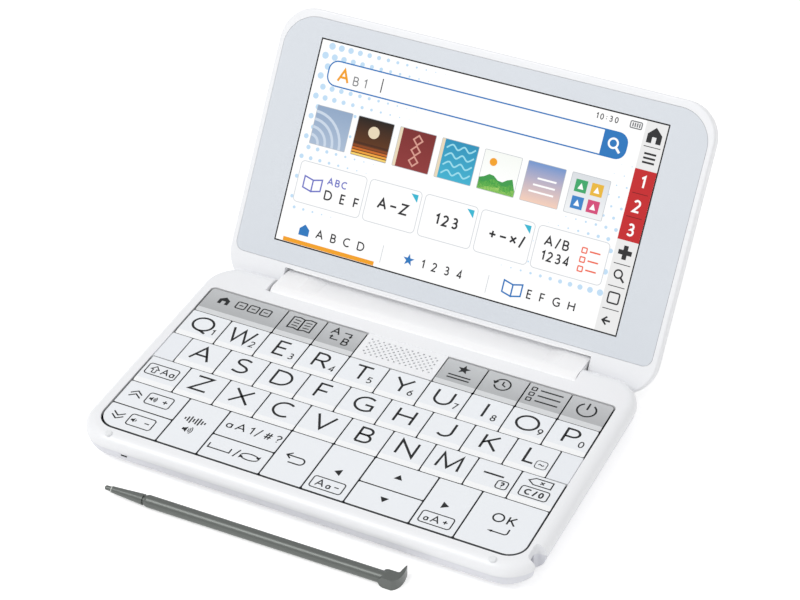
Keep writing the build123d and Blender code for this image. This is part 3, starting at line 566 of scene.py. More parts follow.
def smooth(points: Sequence[Point], steps: int = 5) -> list[Point]:
    """Points along a smooth curve through the given points.

    Args:
        points: Points the curve passes.
        steps: Steps between two of them.

    Returns:
        The finer points.
    """
    ends = [points[0], *points, points[-1]]
    out = []
    for i in range(1, len(ends) - 2):
        a, b, c, d = ends[i - 1:i + 3]
        for k in range(steps):
            t = k / steps
            out.append(tuple(0.5 * (2 * b[j] + (c[j] - a[j]) * t
                                    + (2 * a[j] - 5 * b[j] + 4 * c[j] - d[j]) * t * t
                                    + (3 * b[j] - a[j] - 3 * c[j] + d[j]) * t ** 3) for j in (0, 1)))
    return [*out, points[-1]]


def rounded(x0: float, y0: float, x1: float, y1: float, r: float) -> list[Point]:
    """Outline of a rectangle with round corners, counterclockwise.

    Args:
        x0: Left.
        y0: Bottom.
        x1: Right.
        y1: Top.
        r: Corner radius.

    Returns:
        The outline.
    """
    return (arc(x0 + r, y0 + r, r, r, 180, 270, 6) + arc(x1 - r, y0 + r, r, r, 270, 360, 6)
            + arc(x1 - r, y1 - r, r, r, 0, 90, 6) + arc(x0 + r, y1 - r, r, r, 90, 180, 6))


def moved(points: Iterable[Point], x: float, y: float, sx: float = 1.0, sy: float = 0.0) -> list[Point]:
    """Scale and move points.

    Args:
        points: The points.
        x: Move along X.
        y: Move along Y.
        sx: Scale along X.
        sy: Scale along Y, or 0 for the same as along X.

    Returns:
        The moved points.
    """
    return [(x + px * sx, y + py * (sy or sx)) for px, py in points]


def star(x: float, y: float, outer: float, inner: float) -> list[Point]:
    """Points of a five-pointed star.

    Args:
        x: Centre X.
        y: Centre Y.
        outer: Radius of its tips.
        inner: Radius of its notches.

    Returns:
        The outline.
    """
    turns = [math.radians(36 * i) for i in range(10)]
    return [(x + r * math.sin(a), y + r * math.cos(a)) for a, r in zip(turns, [outer, inner] * 5)]


def _bowl(x: float, y0: float, y1: float, r: float) -> list[Point]:
    """Right-hand bowl of a letter.

    Args:
        x: Where it leaves the stem.
        y0: Its lower end.
        y1: Its upper end.
        r: How far it reaches.

    Returns:
        The points, from the upper end down.
    """
    half = (y1 - y0) / 2
    return arc(x, y0 + half, r, half, 90, -90)


def _ring(x: float, y: float, rx: float, ry: float) -> list[Point | None]:
    """Closed ring of a character, which ends just short of its start.

    Args:
        x: Centre X.
        y: Centre Y.
        rx: Radius along X.
        ry: Radius along Y.

    Returns:
        The ring.
    """
    return [None, *arc(x, y, rx, ry, 0, 340, 17)]


NEAR = 1e-6  # Two points of a line closer than this are one.
FOLDED = 1e-3  # Directions whose sum is shorter than this run back on themselves.
LETTER_GAP = 0.28  # Usual space between two characters, as a share of their height.
SHARPEST = 0.35  # Least cosine that a mitre is worked out with.
ROUND = arc(0.5, 0.5, 0.5, 0.5, 0, 348, 29)
S_CURVE = smooth([(0.62, 0.93), (0.36, 1.0), (0.11, 0.92), (0.05, 0.74), (0.16, 0.60), (0.36, 0.52),
                  (0.57, 0.42), (0.66, 0.24), (0.54, 0.06), (0.30, 0.0), (0.0, 0.08)])

# Width and strokes of each character; a stroke whose first point is None is a closed ring.
GLYPHS: dict[str, tuple[float, list[list]]] = {
    "A": (0.90, [[(0, 0), (0.45, 1), (0.90, 0)], [(0.16, 0.35), (0.74, 0.35)]]),
    "B": (0.62, [[(0, 0), (0, 1), (0.31, 1), *_bowl(0.31, 0.53, 1, 0.24), (0, 0.53)],
                 [(0, 0.53), (0.34, 0.53), *_bowl(0.34, 0, 0.53, 0.28), (0, 0)]]),
    "C": (0.80, [arc(0.50, 0.5, 0.50, 0.5, 54, 306, 22)]),
    "D": (0.84, [[(0, 0), (0, 1), (0.34, 1), *_bowl(0.34, 0, 1, 0.5), (0, 0)]]),
    "E": (0.52, [[(0.52, 1), (0, 1), (0, 0), (0.52, 0)], [(0, 0.53), (0.46, 0.53)]]),
    "F": (0.54, [[(0.54, 1), (0, 1), (0, 0)], [(0, 0.5), (0.48, 0.5)]]),
    "G": (0.85, [[*arc(0.50, 0.5, 0.50, 0.5, 54, 310, 22), (0.85, 0.13), (0.85, 0.46), (0.5, 0.46)]]),
    "H": (0.78, [[(0, 0), (0, 1)], [(0.78, 0), (0.78, 1)], [(0, 0.52), (0.78, 0.52)]]),
    "I": (0.0, [[(0, 0), (0, 1)]]),
    "J": (0.58, [[(0.58, 1), (0.58, 0.33), *arc(0.25, 0.33, 0.33, 0.33, 0, -140, 12)]]),
    "K": (0.70, [[(0, 0), (0, 1)], [(0.62, 1), (0, 0.40)], [(0.20, 0.58), (0.70, 0)]]),
    "L": (0.44, [[(0, 1), (0, 0), (0.44, 0)]]),
    "M": (1.0, [[(0, 0), (0.07, 1), (0.50, 0.08), (0.93, 1), (1.0, 0)]]),
    "N": (0.78, [[(0, 0), (0, 1), (0.78, 0), (0.78, 1)]]),
    "O": (1.0, [[None, *ROUND]]),
    "P": (0.60, [[(0, 0), (0, 1), (0.31, 1), *_bowl(0.31, 0.45, 1, 0.29), (0, 0.45)]]),
    "Q": (1.0, [[None, *ROUND], [(0.42, 0.01), (0.60, -0.03), (0.86, -0.15)]]),
    "R": (0.68, [[(0, 0), (0, 1), (0.31, 1), *_bowl(0.31, 0.45, 1, 0.29), (0, 0.45)],
                 [(0.34, 0.45), (0.68, 0)]]),
    "S": (0.66, [S_CURVE]),
    "T": (0.76, [[(0, 1), (0.76, 1)], [(0.38, 1), (0.38, 0)]]),
    "U": (0.78, [[(0, 1), (0, 0.39), *arc(0.39, 0.39, 0.39, 0.39, 180, 360, 14), (0.78, 1)]]),
    "V": (0.88, [[(0, 1), (0.44, 0), (0.88, 1)]]),
    "W": (1.16, [[(0, 1), (0.29, 0), (0.58, 0.95), (0.87, 0), (1.16, 1)]]),
    "X": (0.88, [[(0, 0), (0.86, 1)], [(0.02, 1), (0.88, 0)]]),
    "Y": (0.80, [[(0, 1), (0.40, 0.46), (0.80, 1)], [(0.40, 0.46), (0.40, 0)]]),
    "Z": (0.80, [[(0.03, 1), (0.77, 1), (0, 0), (0.80, 0)]]),
    "0": (0.54, [[None, *moved(ROUND, 0, 0, 0.54, 1.0)]]),
    "1": (0.26, [[(0, 0.80), (0.26, 1), (0.26, 0)]]),
    "2": (0.54, [[*arc(0.26, 0.73, 0.25, 0.27, 160, -35, 12), (0, 0), (0.54, 0)]]),
    "3": (0.52, [[*arc(0.24, 0.76, 0.22, 0.24, 145, -90, 10), *arc(0.24, 0.27, 0.27, 0.27, 84, -145, 11)]]),
    "4": (0.58, [[(0.42, 0), (0.42, 1), (0, 0.27), (0.58, 0.27)]]),
    "5": (0.52, [[(0.48, 1), (0.07, 1), (0.04, 0.54), *arc(0.24, 0.31, 0.28, 0.31, 112, -140, 12)]]),
    "6": (0.52, [_ring(0.26, 0.30, 0.26, 0.30), [(0.44, 1.0), (0.13, 0.68), (0.0, 0.32)]]),
    "7": (0.50, [[(0, 1), (0.50, 1), (0.16, 0)]]),
    "8": (0.54, [_ring(0.27, 0.76, 0.22, 0.24), _ring(0.27, 0.26, 0.27, 0.26)]),
    "9": (0.52, [_ring(0.26, 0.70, 0.26, 0.30), [(0.52, 0.68), (0.42, 0.36), (0.12, 0.0)]]),
    "a": (0.50, [_ring(0.25, 0.30, 0.25, 0.30), [(0.50, 0.62), (0.50, 0)]]),
    "?": (0.46, [[*arc(0.22, 0.76, 0.22, 0.24, 165, -50, 11), (0.22, 0.46), (0.22, 0.28)],
                 [(0.16, 0.06), (0.28, 0.06)]]),
    "~": (0.90, [smooth([(0, 0.40), (0.20, 0.62), (0.45, 0.50), (0.70, 0.38), (0.90, 0.60)])]),
    "+": (0.70, [[(0, 0.5), (0.70, 0.5)], [(0.35, 0.15), (0.35, 0.85)]]),
    "-": (0.70, [[(0, 0.5), (0.70, 0.5)]]),
    "x": (0.60, [[(0, 0.2), (0.60, 0.8)], [(0, 0.8), (0.60, 0.2)]]),
    "/": (0.40, [[(0, -0.12), (0.40, 1.12)]]),
    ":": (0.10, [[(0, 0.28), (0.14, 0.28)], [(0, 0.72), (0.14, 0.72)]]),
    "#": (0.70, [[(0.16, 0), (0.28, 1)], [(0.44, 0), (0.56, 1)], [(0, 0.33), (0.66, 0.33)],
                 [(0.05, 0.67), (0.70, 0.67)]]),
    " ": (0.30, []),
}


Mark = tuple  # Name of the method of Print that draws it, then what that method asks for.


def show(mesh: bpy.types.Mesh) -> bpy.types.Object:
    """Put a mesh in the scene at the origin.

    Args:
        mesh: The mesh, in metres.

    Returns:
        Its object.
    """
    made = bpy.data.objects.new(mesh.name, mesh)
    bpy.context.scene.collection.objects.link(made)
    return made


def tint(mesh: bpy.types.Mesh, shades: Iterable[Colour]) -> None:
    """Keep a colour for each corner of a mesh's faces.

    Args:
        mesh: The mesh.
        shades: The colours, in the order of the corners.
    """
    layer = mesh.color_attributes.new(INK_LAYER, "FLOAT_COLOR", "CORNER")
    for loop, shade in zip(layer.data, shades):
        loop.color = opaque(shade)


@dataclass
class Print:
    """Flat coloured shapes that lie on one face of the object."""

    name: str
    place: Callable[[float, float, float], Vector]
    ink: Colour = DARK
    level: float = 0.0
    bold: float = 1.0
    origin: Point = (0.0, 0.0)
    box_line: float = 0.28
    box_corner: float = 0.9
    fine: float = 0.38
    points: list[Vector] = field(default_factory=list)
    faces: list[list[int]] = field(default_factory=list)
    inks: list[Colour] = field(default_factory=list)

    def fill(self, outline: Sequence[Point], ink: Colour | None = None,
             inks: list[Colour] | None = None) -> None:
        """Add one filled shape.

        Args:
            outline: Its outline, in either direction.
            ink: Its colour, or none for the current one.
            inks: A colour for each point instead.
        """
        area = sum(a[0] * b[1] - b[0] * a[1] for a, b in zip(outline, [*outline[1:], outline[0]]))
        shades = inks or [ink or self.ink] * len(outline)
        if area < 0:
            outline, shades = list(outline)[::-1], shades[::-1]
        start = len(self.points)
        self.points += [self.place(*point, self.level) for point in moved(outline, *self.origin)]
        self.faces.append(list(range(start, start + len(outline))))
        self.inks += shades

    def block(self, x0: float, y0: float, x1: float, y1: float, *inks: object) -> None:
        """Add a filled rectangle.

        Args:
            x0: Left.
            y0: Bottom.
            x1: Right.
            y1: Top.
            inks: Its colour, or nothing and a colour for each corner.
        """
        self.fill([(x0, y0), (x1, y0), (x1, y1), (x0, y1)], *inks)

    def stroke(self, path: Sequence[Point | None], width: float, ink: Colour | None = None) -> None:
        """Add a line of even width with mitred corners.

        Args:
            path: Points of the line; a first point of None closes it into a ring.
            width: Width of the line.
            ink: Its colour, or none for the current one.
        """
        closed = path[0] is None
        width *= self.bold
        line = [Vector(p) for p in path if p is not None]
        line = [p for i, p in enumerate(line) if i == 0 or (p - line[i - 1]).length > NEAR]
        count = len(line)
        left, right = [], []
        for i, p in enumerate(line):
            before = line[i - 1] if i or closed else None
            after = line[(i + 1) % count] if i < count - 1 or closed else None
            a = (p - before).normalized() if before is not None else (after - p).normalized()
            b = (after - p).normalized() if after is not None else a
            mid = (a + b).normalized() if (a + b).length > FOLDED else a
            side = Vector((-mid.y, mid.x))
            reach = width / 2 / max(SHARPEST, side.dot(Vector((-a.y, a.x))))
            left.append(p + side * reach)
            right.append(p - side * reach)
        for i in range(count if closed else count - 1):
            j = (i + 1) % count
            self.fill([tuple(p) for p in (right[i], right[j], left[j], left[i])], ink)

    def line(self, x0: float, y0: float, x1: float, y1: float, width: float,
             ink: Colour | None = None) -> None:
        """Add a straight line.

        Args:
            x0: X of its start.
            y0: Y of its start.
            x1: X of its end.
            y1: Y of its end.
            width: Its width.
            ink: Its colour, or none for the current one.
        """
        self.stroke([(x0, y0), (x1, y1)], width, ink)

    def frame(self, x0: float, y0: float, x1: float, y1: float, r: float, width: float,
              ink: Colour | None = None) -> None:
        """Add the outline of a rounded rectangle.

        Args:
            x0: Left.
            y0: Bottom.
            x1: Right.
            y1: Top.
            r: Corner radius.
            width: Width of the line.
            ink: Its colour, or none for the current one.
        """
        self.stroke([None, *rounded(x0, y0, x1, y1, r)], width, ink)

    def write(self, text: str, x: float, y: float, height: float, width: float, ink: Colour | None = None,
              gap: float = LETTER_GAP, stretch: float = 1.0) -> float:
        """Write plain characters as strokes.

        Args:
            text: Characters to write.
            x: Left end.
            y: Foot of the characters.
            height: Their height over the outside of the strokes.
            width: Width of the strokes.
            ink: Their colour, or none for the current one.
            gap: Space between two characters, as a share of the height.
            stretch: Widening of the characters.

        Returns:
            X of the right end.
        """
        scale = height - width
        for letter in text:
            wide, strokes = GLYPHS[letter]
            for path in strokes:
                head = [None] if path[0] is None else []
                body = moved([p for p in path if p], x + width / 2, y + width / 2, scale * stretch, scale)
                self.stroke(head + body, width, ink)
            x += wide * scale * stretch + width + gap * height
        return x - gap * height

    def boxed(self, x: float, y: float, w: float, h: float, text: str = "", size: float = 2.0) -> None:
        """Draw a thin rounded box with plain characters in it.

        Args:
            x: Centre X.
            y: Centre Y.
            w: Width of the box.
            h: Height of the box.
            text: Characters inside.
            size: Their height.
        """
        self.frame(x - w / 2, y - h / 2, x + w / 2, y + h / 2, self.box_corner, self.box_line)
        wide = sum(GLYPHS[c][0] * (size - self.fine) + self.fine for c in text)
        wide += LETTER_GAP * size * (len(text) - 1)
        self.write(text, x - wide / 2, y - size / 2, size, self.fine)

    def speaker(self, x: float, y: float, size: float, waves: int) -> None:
        """Draw a small loudspeaker.

        Args:
            x: Left end.
            y: Middle height.
            size: Height of the cone.
            waves: Number of sound waves.
        """
        self.fill(moved([(0, -0.2), (0.25, -0.2), (0.6, -0.5), (0.6, 0.5), (0.25, 0.2), (0, 0.2)],
                        x, y, size))
        for i in range(waves):
            r = (0.3 + 0.22 * i) * size
            self.stroke(arc(x + 0.55 * size, y, r, r * 1.15, -45, 45, 6), 0.22)

    def chevrons(self, x: float, y: float, way: int) -> None:
        """Draw two chevrons, one over the other.

        Args:
            x: Centre X.
            y: Centre Y.
            way: 1 for up, -1 for down.
        """
        for step in (-0.75, 0.75):
            self.stroke(moved([(-2.0, -0.75), (0, 0.75), (2.0, -0.75)], x, y + step, 1, way), 0.34)

    def draw(self, marks: Iterable[Mark], x: float, y: float) -> None:
        """Draw marks that are measured from a point of their own.

        Args:
            marks: The marks.
            x: X of that point.
            y: Y of that point.
        """
        draws = {draw.__name__: draw for draw in (
            self.fill, self.block, self.stroke, self.line, self.frame, self.write, self.boxed, self.speaker,
            self.chevrons)}
        self.origin = (x, y)
        for kind, *values in marks:
            draws[kind](*values)
        self.origin = (0.0, 0.0)

    def build(self, finish: Coating) -> bpy.types.Object:
        """Turn the shapes into one mesh object.

        Args:
            finish: Its finish.

        Returns:
            The object.
        """
        mesh = bpy.data.meshes.new(self.name)
        mesh.from_pydata([tuple(p) for p in self.points], [], self.faces)
        tint(mesh, self.inks)
        mesh.materials.append(finish.material())
        return show(mesh)


def settle(piece: bpy.types.Object, body: str) -> None:
    """Let a finished piece ride on its body.

    Args:
        piece: The piece.
        body: Body that carries it.
    """
    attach(piece, body)
    LOG.info("piece %s rides on %s with %d faces", piece.name, body, len(piece.data.polygons))


def dress(name: str, finish: Coating) -> None:
    """Give a CAD node its finish.

    Args:
        name: Name of the node.
        finish: The finish.
    """
    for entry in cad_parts[name].material_slots:
        entry.material = finish.material()


def grown(name: str, tree: bpy.types.NodeTree, shape: bpy.types.NodeSocket, label: bpy.types.NodeSocket,
          finish: Coating) -> bpy.types.Object:
    """Close a Geometry Nodes tree, run it and keep its result as a plain mesh.

    Args:
        name: Name of the piece.
        tree: The tree.
        shape: Socket that gives the shape.
        label: Socket inside the tree that gives the material.
        finish: Finish of the piece.

    Returns:
        The object, with no modifier left.
    """
    real = node(tree, "GeometryNodeRealizeInstances", {0: shape})
    paint = node(tree, "GeometryNodeSetMaterial", {"Geometry": real.outputs[0], "Material": label})
    node(tree, "NodeGroupOutput", {0: paint.outputs[0]})
    seed = show(bpy.data.meshes.new(name + "_seed"))
    modifier = seed.modifiers.new("grow", "NODES")
    modifier.node_group = tree
    modifier[label.identifier] = finish.material()
    graph = bpy.context.evaluated_depsgraph_get()
    mesh = bpy.data.meshes.new_from_object(seed.evaluated_get(graph))
    mesh.name = name
    bpy.data.objects.remove(seed)
    return show(mesh)


# ------------------------------------------------------------------ keyboard half
# For each key the point that its marks are measured from, in millimetres on the keyboard, and the marks.
KEY_MARKS: dict[str, tuple[Point, list[Mark]]] = {
    # House, then three small tiles.
    "home": ((0, 0), [
        ("fill", [(-65.9, 26.0), (-64.7, 26.0), (-64.7, 27.6), (-63.3, 27.6), (-63.3, 26.0), (-62.1, 26.0),
                  (-62.1, 28.3), (-64.0, 29.7), (-65.9, 28.3)]),
        *[mark for x in (-59.4, -54.9, -50.4) for mark in (
            ("frame", x, 26.2, x + 3.3, 29.5, 0.5, 0.34), ("line", x + 0.9, 27.85, x + 2.4, 27.85, 0.3))]]),
    # Open book with lines of text.
    "function_1": ((-35.45, 27.35), [mark for side in (-1, 1) for mark in (
        ("stroke", [None, *moved([(0, -2.9), (1.9, -2.4), (4.0, -2.7), (4.0, 2.9), (1.9, 3.2), (0, 2.7)],
                                 0, 0, side, 1)], 0.36),
        *[("line", side * 0.9, row - 0.15, side * 3.1, row, 0.3) for row in (-1.1, 0.3, 1.7)])]),
    # Letters A and B with two arrows between them.
    "function_2": ((-21.35, 27.35), [
        ("write", "A", -4.0, 0.3, 3.4, 0.36), ("write", "B", 1.4, -3.7, 3.4, 0.36),
        ("stroke", [(0.5, 2.2), (3.0, 2.2), (3.0, 0.9)], 0.34),
        ("fill", [(2.3, 1.1), (3.0, 0.1), (3.7, 1.1)]),
        ("stroke", [(-0.2, -2.1), (-2.8, -2.1), (-2.8, -0.9)], 0.34),
        ("fill", [(-3.5, -1.1), (-2.8, -0.1), (-2.1, -1.1)])]),
    # Star over two lines.
    "function_3": ((21.15, 29.0), [
        ("fill", star(0, 0, 2.2, 0.95)), ("line", -3.8, -3.6, 3.8, -3.6, 0.4),
        ("line", -3.8, -5.0, 3.8, -5.0, 0.4)]),
    # Clock with an arrow that runs backwards.
    "function_4": ((35.0, 27.45), [
        ("stroke", arc(0, 0, 2.6, 2.6, 160, -160, 24), 0.38),
        ("fill", [(-3.5, 0.9), (-1.5, 1.1), (-2.6, -0.6)]),
        ("stroke", [(0, 1.6), (0, 0), (1.2, -0.7)], 0.34)]),
    # List of three rows with tick boxes.
    "function_5": ((49.3, 27.35), [mark for row in (-2.6, 0.0, 2.6) for mark in (
        ("frame", -5.2, row - 0.75, -3.7, row + 0.75, 0.2, 0.3), ("line", -2.4, row, 5.2, row, 0.42))]),
    # Open ring with a bar.
    "power": ((63.25, 27.3), [
        ("stroke", arc(0, 0, 3.0, 3.0, 122, 418, 28), 0.42), ("line", 0, 0.2, 0, 3.4, 0.42)]),
    # Boxed hollow arrow and two sizes of a letter.
    "shift": ((-66.6, -12.3), [
        ("boxed", 2.5, 0, 10.6, 5.1),
        ("stroke", [None, (-0.6, -1.5), (0.6, -1.5), (0.6, 0.1), (1.4, 0.1), (0, 1.6), (-1.4, 0.1),
                    (-0.6, 0.1)], 0.26),
        ("write", "A", 2.3, -1.45, 2.9, 0.3), ("write", "a", 5.4, -1.45, 2.9, 0.3)]),
    # Long dash and a boxed question mark.
    "dash": ((0, 0), [
        ("line", 46.15, -11.65, 52.65, -11.65, 0.5), ("boxed", 53.4, -14.95, 3.5, 3.5, "?", 2.4)]),
    # Backspace tag over a boxed cross and bar.
    "delete": ((63.5, -9.3), [
        ("stroke", [None, (-3.7, 0), (-1.9, -1.45), (3.7, -1.45), (3.7, 1.45), (-1.9, 1.45)], 0.3),
        ("write", "x", -0.1, -1.1, 2.2, 0.3), ("boxed", -0.05, -5.0, 8.9, 4.3, "C/0", 2.4)]),
    # Up chevrons and a boxed louder sign.
    "page_up": ((0, 0), [
        ("chevrons", -65.9, -25.0, 1), ("boxed", -57.75, -25.0, 8.5, 5.2), ("speaker", -61.2, -25.0, 2.0, 3),
        ("write", "+", -56.6, -26.3, 2.6, 0.3)]),
    # Down chevrons and a boxed quieter sign.
    "page_down": ((0, 0), [
        ("chevrons", -65.9, -36.1, -1), ("boxed", -57.75, -36.05, 8.5, 5.1),
        ("speaker", -61.2, -36.05, 2.0, 1), ("write", "-", -56.6, -37.35, 2.6, 0.3)]),
    # Sound bars over a loudspeaker.
    "voice": ((-46.4, -28.4), [
        *[("line", i * 0.97, -h / 2, i * 0.97, h / 2, 0.36)
          for i, h in enumerate((1.0, 2.2, 3.2, 1.6, 2.8, 3.3, 1.8, 0.9))],
        ("speaker", 1.4, -4.5, 2.6, 3)]),
    # Kinds of characters.
    "text_mode": ((0, 0), [("write", "aA1/#?", -33.6, -26.8, 3.3, 0.32, None, 0.34, 1.15)]),
    # Space bar sign, slash and a turning arrow.
    "space": ((-20.0, -36.0), [
        ("stroke", [(-13.9, 1.0), (-13.9, -1.0), (-6.6, -1.0), (-6.6, 1.0)], 0.32),
        ("write", "/", -5.2, -1.6, 3.2, 0.32),
        *[mark for flip in (1, -1) for mark in (
            ("stroke", moved(arc(0, 0, 3.0, 1.35, 170, 30, 12), 0, 0, flip), 0.32),
            ("fill", moved([(3.3, 1.5), (3.2, -0.2), (1.9, 0.5)], 0, 0, flip)))]]),
    # Arrow that turns back.
    "back": ((-7.2, -30.8), [
        ("stroke", [(-3.0, 0.9), (1.8, 0.9), *arc(1.8, -0.55, 1.45, 1.45, 84, -90, 10), (-1.6, -2.0)], 0.36),
        ("stroke", [(-1.7, 2.2), (-3.2, 0.9), (-1.7, -0.4)], 0.36)]),
    # Left arrow and a boxed smaller letter.
    "left": ((0, 0), [
        ("fill", [(8.0, -29.0), (5.75, -30.5), (8.0, -32.0)]), ("boxed", 6.75, -37.0, 10.4, 4.9),
        ("write", "A", 3.0, -38.5, 3.0, 0.3), ("write", "a", 6.5, -38.5, 2.6, 0.3),
        ("write", "-", 8.9, -38.2, 2.4, 0.3)]),
    # Plain arrows.
    "up": ((0, 0), [("fill", [(23.1, -25.9), (25.9, -25.9), (24.5, -23.75)])]),
    "down": ((0, 0), [("fill", [(23.15, -34.65), (25.95, -34.65), (24.55, -36.8)])]),
    # Right arrow and a boxed larger letter.
    "right": ((0, 0), [
        ("fill", [(41.05, -28.75), (43.3, -30.2), (41.05, -31.65)]), ("boxed", 42.2, -36.8, 10.2, 4.9),
        ("write", "a", 38.4, -38.3, 2.6, 0.3), ("write", "A", 40.6, -38.3, 3.0, 0.3),
        ("write", "+", 44.2, -38.0, 2.4, 0.3)]),
    # OK over a hooked arrow.
    "enter": ((0, 0), [
        ("write", "OK", 56.4, -30.0, 3.7, 0.38, None, 0.3),
        ("stroke", [(63.25, -31.5), *arc(62.35, -33.2, 0.9, 0.9, 0, -90, 5), (58.4, -34.1)], 0.34),
        ("fill", [(58.7, -33.6), (57.1, -34.1), (58.7, -34.6)])]),
}


def key_finish(key: str) -> KeyPaint:
    """Paint of a key, grey along the rear row and white elsewhere."""
    return KEY_GREY if key in ("home", "power") or key.startswith("function") else KEY_WHITE


@dataclass
class KeyboardHalf:
    """Case, keys, their printed legends, and what lies inside."""

    letter_h: float = 7.2
    letter_stroke: float = 0.80
    letter_stretch: float = 1.10
    digit_h: float = 3.0
    digit_stroke: float = 0.42
    digit_shift: Point = (-0.8, -0.3)
    bold: float = 1.42
    rows: tuple[tuple[str, float, tuple[float, ...]], ...] = (
        ("QWERTYUIOP", 10.5, (-64.1, -49.95, -35.55, -21.2, -7.15, 7.0, 21.1, 35.1, 49.2, 63.7)),
        ("ASDFGHJKL", -2.65, (-57.0, -42.7, -28.3, -14.15, 0.15, 14.1, 28.2, 42.8, 56.2)),
        ("ZXCVBNM", -15.75, (-49.9, -35.7, -21.55, -7.1, 7.05, 21.1, 35.25)))
    wave_box: tuple[float, ...] = (4.3, 0.75, 3.6, 3.5)
    digits: tuple[float, ...] = (-59.15, -45.2, -31.2, -16.8, -3.55, 10.55, 25.8, 38.7, 54.2, 67.7)
    cloth_size: tuple[float, float] = (26.8, 11.4)
    cloth_centre: tuple[float, float, float] = (0.0, 26.87, 9.35)
    strand: float = 0.3
    strand_h: float = 0.06
    strand_pitch: float = 1.6

    def dress(self) -> None:
        """Give every CAD node of this half its finish."""
        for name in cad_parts:
            if name.startswith("key_") and name != "key_mat":
                dress(name, key_finish(name.removeprefix("key_")))
        for name, finish in (("upper_case", UPPER_WHITE), ("lower_case", LOWER_WHITE), ("key_mat", GAP_SHADE_SILICONE),
                             ("rubber_feet", RUBBER), ("screws", STEEL), ("main_board", BOARD),
                             ("battery", WRAP)):
            dress(name, finish)

    def build(self) -> None:
        """Build the legends and the speaker cloth."""
        for names, foot, places in self.rows:
            for letter, x in zip(names, places):
                self.print_key(letter.lower(), (x, foot), self.letter_marks(letter), 1.0)
        for key, (spot, marks) in KEY_MARKS.items():
            self.print_key(key, spot, marks, self.bold)
        self.build_cloth()

    def letter_marks(self, letter: str) -> list[Mark]:
        """Marks of a letter key, measured from the foot of the letter's middle line.

        Args:
            letter: The letter.

        Returns:
            The letter itself and what stands beside it.
        """
        names, _, places = next(row for row in self.rows if letter in row[0])
        high, line, stretch = self.letter_h, self.letter_stroke, self.letter_stretch
        wide = GLYPHS[letter][0] * (high - line) * stretch + line
        marks = [("write", letter, -wide / 2, 0.0, high, line, None, 0.0, stretch)]
        place = names.index(letter)
        if names == self.rows[0][0]:
            x = self.digits[place] + self.digit_shift[0] - places[place]
            digit = str((place + 1) % 10)
            marks.append(("write", digit, x, self.digit_shift[1], self.digit_h, self.digit_stroke))
        if letter == "L":
            marks.append(("boxed", *self.wave_box, "~", 2.3))
        return marks

    def print_key(self, key: str, spot: Point, marks: list[Mark], bold: float) -> None:
        """Print the legend of one key and let it ride on the key.

        Args:
            key: Name of the key.
            spot: Point that the marks are measured from.
            marks: The marks.
            bold: Thickening of the lines.
        """
        legend = Print("legend_" + key, on_keys, bold=bold)
        legend.draw(marks, *spot)
        slot = "key_grey" if key_finish(key) is KEY_GREY else "key_white"
        settle(legend.build(LEGEND_INK), key + "_key")

    def build_cloth(self) -> None:
        """Woven cloth under the sound holes, laid as crossing strands by Geometry Nodes."""
        tree, enter = open_tree(
            "speaker_weave", SHAPE_TREE,
            (("Width", "Float", self.cloth_size[0] * MM), ("Depth", "Float", self.cloth_size[1] * MM),
             ("Strand", "Float", self.strand * MM), ("Finish", "Material")), (("Mesh", "Geometry"),))
        pitch = maths(tree, "MULTIPLY", enter["Strand"], self.strand_pitch)
        join = node(tree, "GeometryNodeJoinGeometry", {})
        for along, across, axis, turn in (("Width", "Depth", "Y", 0.0), ("Depth", "Width", "X", math.pi / 2)):
            begin = node(tree, "ShaderNodeCombineXYZ", {axis: maths(tree, "MULTIPLY", enter[across], -0.5)})
            step = node(tree, "ShaderNodeCombineXYZ", {axis: pitch})
            line = node(tree, "GeometryNodeMeshLine", {
                "Count": maths(tree, "DIVIDE", enter[across], pitch), "Start Location": begin.outputs[0],
                "Offset": step.outputs[0]})
            size = node(tree, "ShaderNodeCombineXYZ",
                        {"X": enter[along], "Y": enter["Strand"], "Z": self.strand_h * MM})
            strand = node(tree, "GeometryNodeMeshCube", {"Size": size.outputs[0]})
            place = node(tree, "GeometryNodeInstanceOnPoints", {
                "Points": line.outputs[0], "Instance": strand.outputs[0], "Rotation": (0.0, 0.0, turn)})
            feed(tree, join, {0: place.outputs[0]})
        cloth = grown("speaker_cloth", tree, join.outputs[0], enter["Finish"], CLOTH)
        x, y, z = self.cloth_centre
        cloth.data.transform(Matrix.Translation(Vector((x, y + CASE.shift_y, z)) * MM))
        settle(cloth, "base")


# ------------------------------------------------------------------ link hinge
@dataclass
class LinkHinge:
    """Link and pins between the two halves."""

    def dress(self) -> None:
        """Give the link and its pins their finish."""
        # The link's finish is painted lighter than the case to stand in for light in the shade under the lid.
        dress("hinge_link", LIT_LINK_WHITE)
        dress("hinge_pins", STEEL)


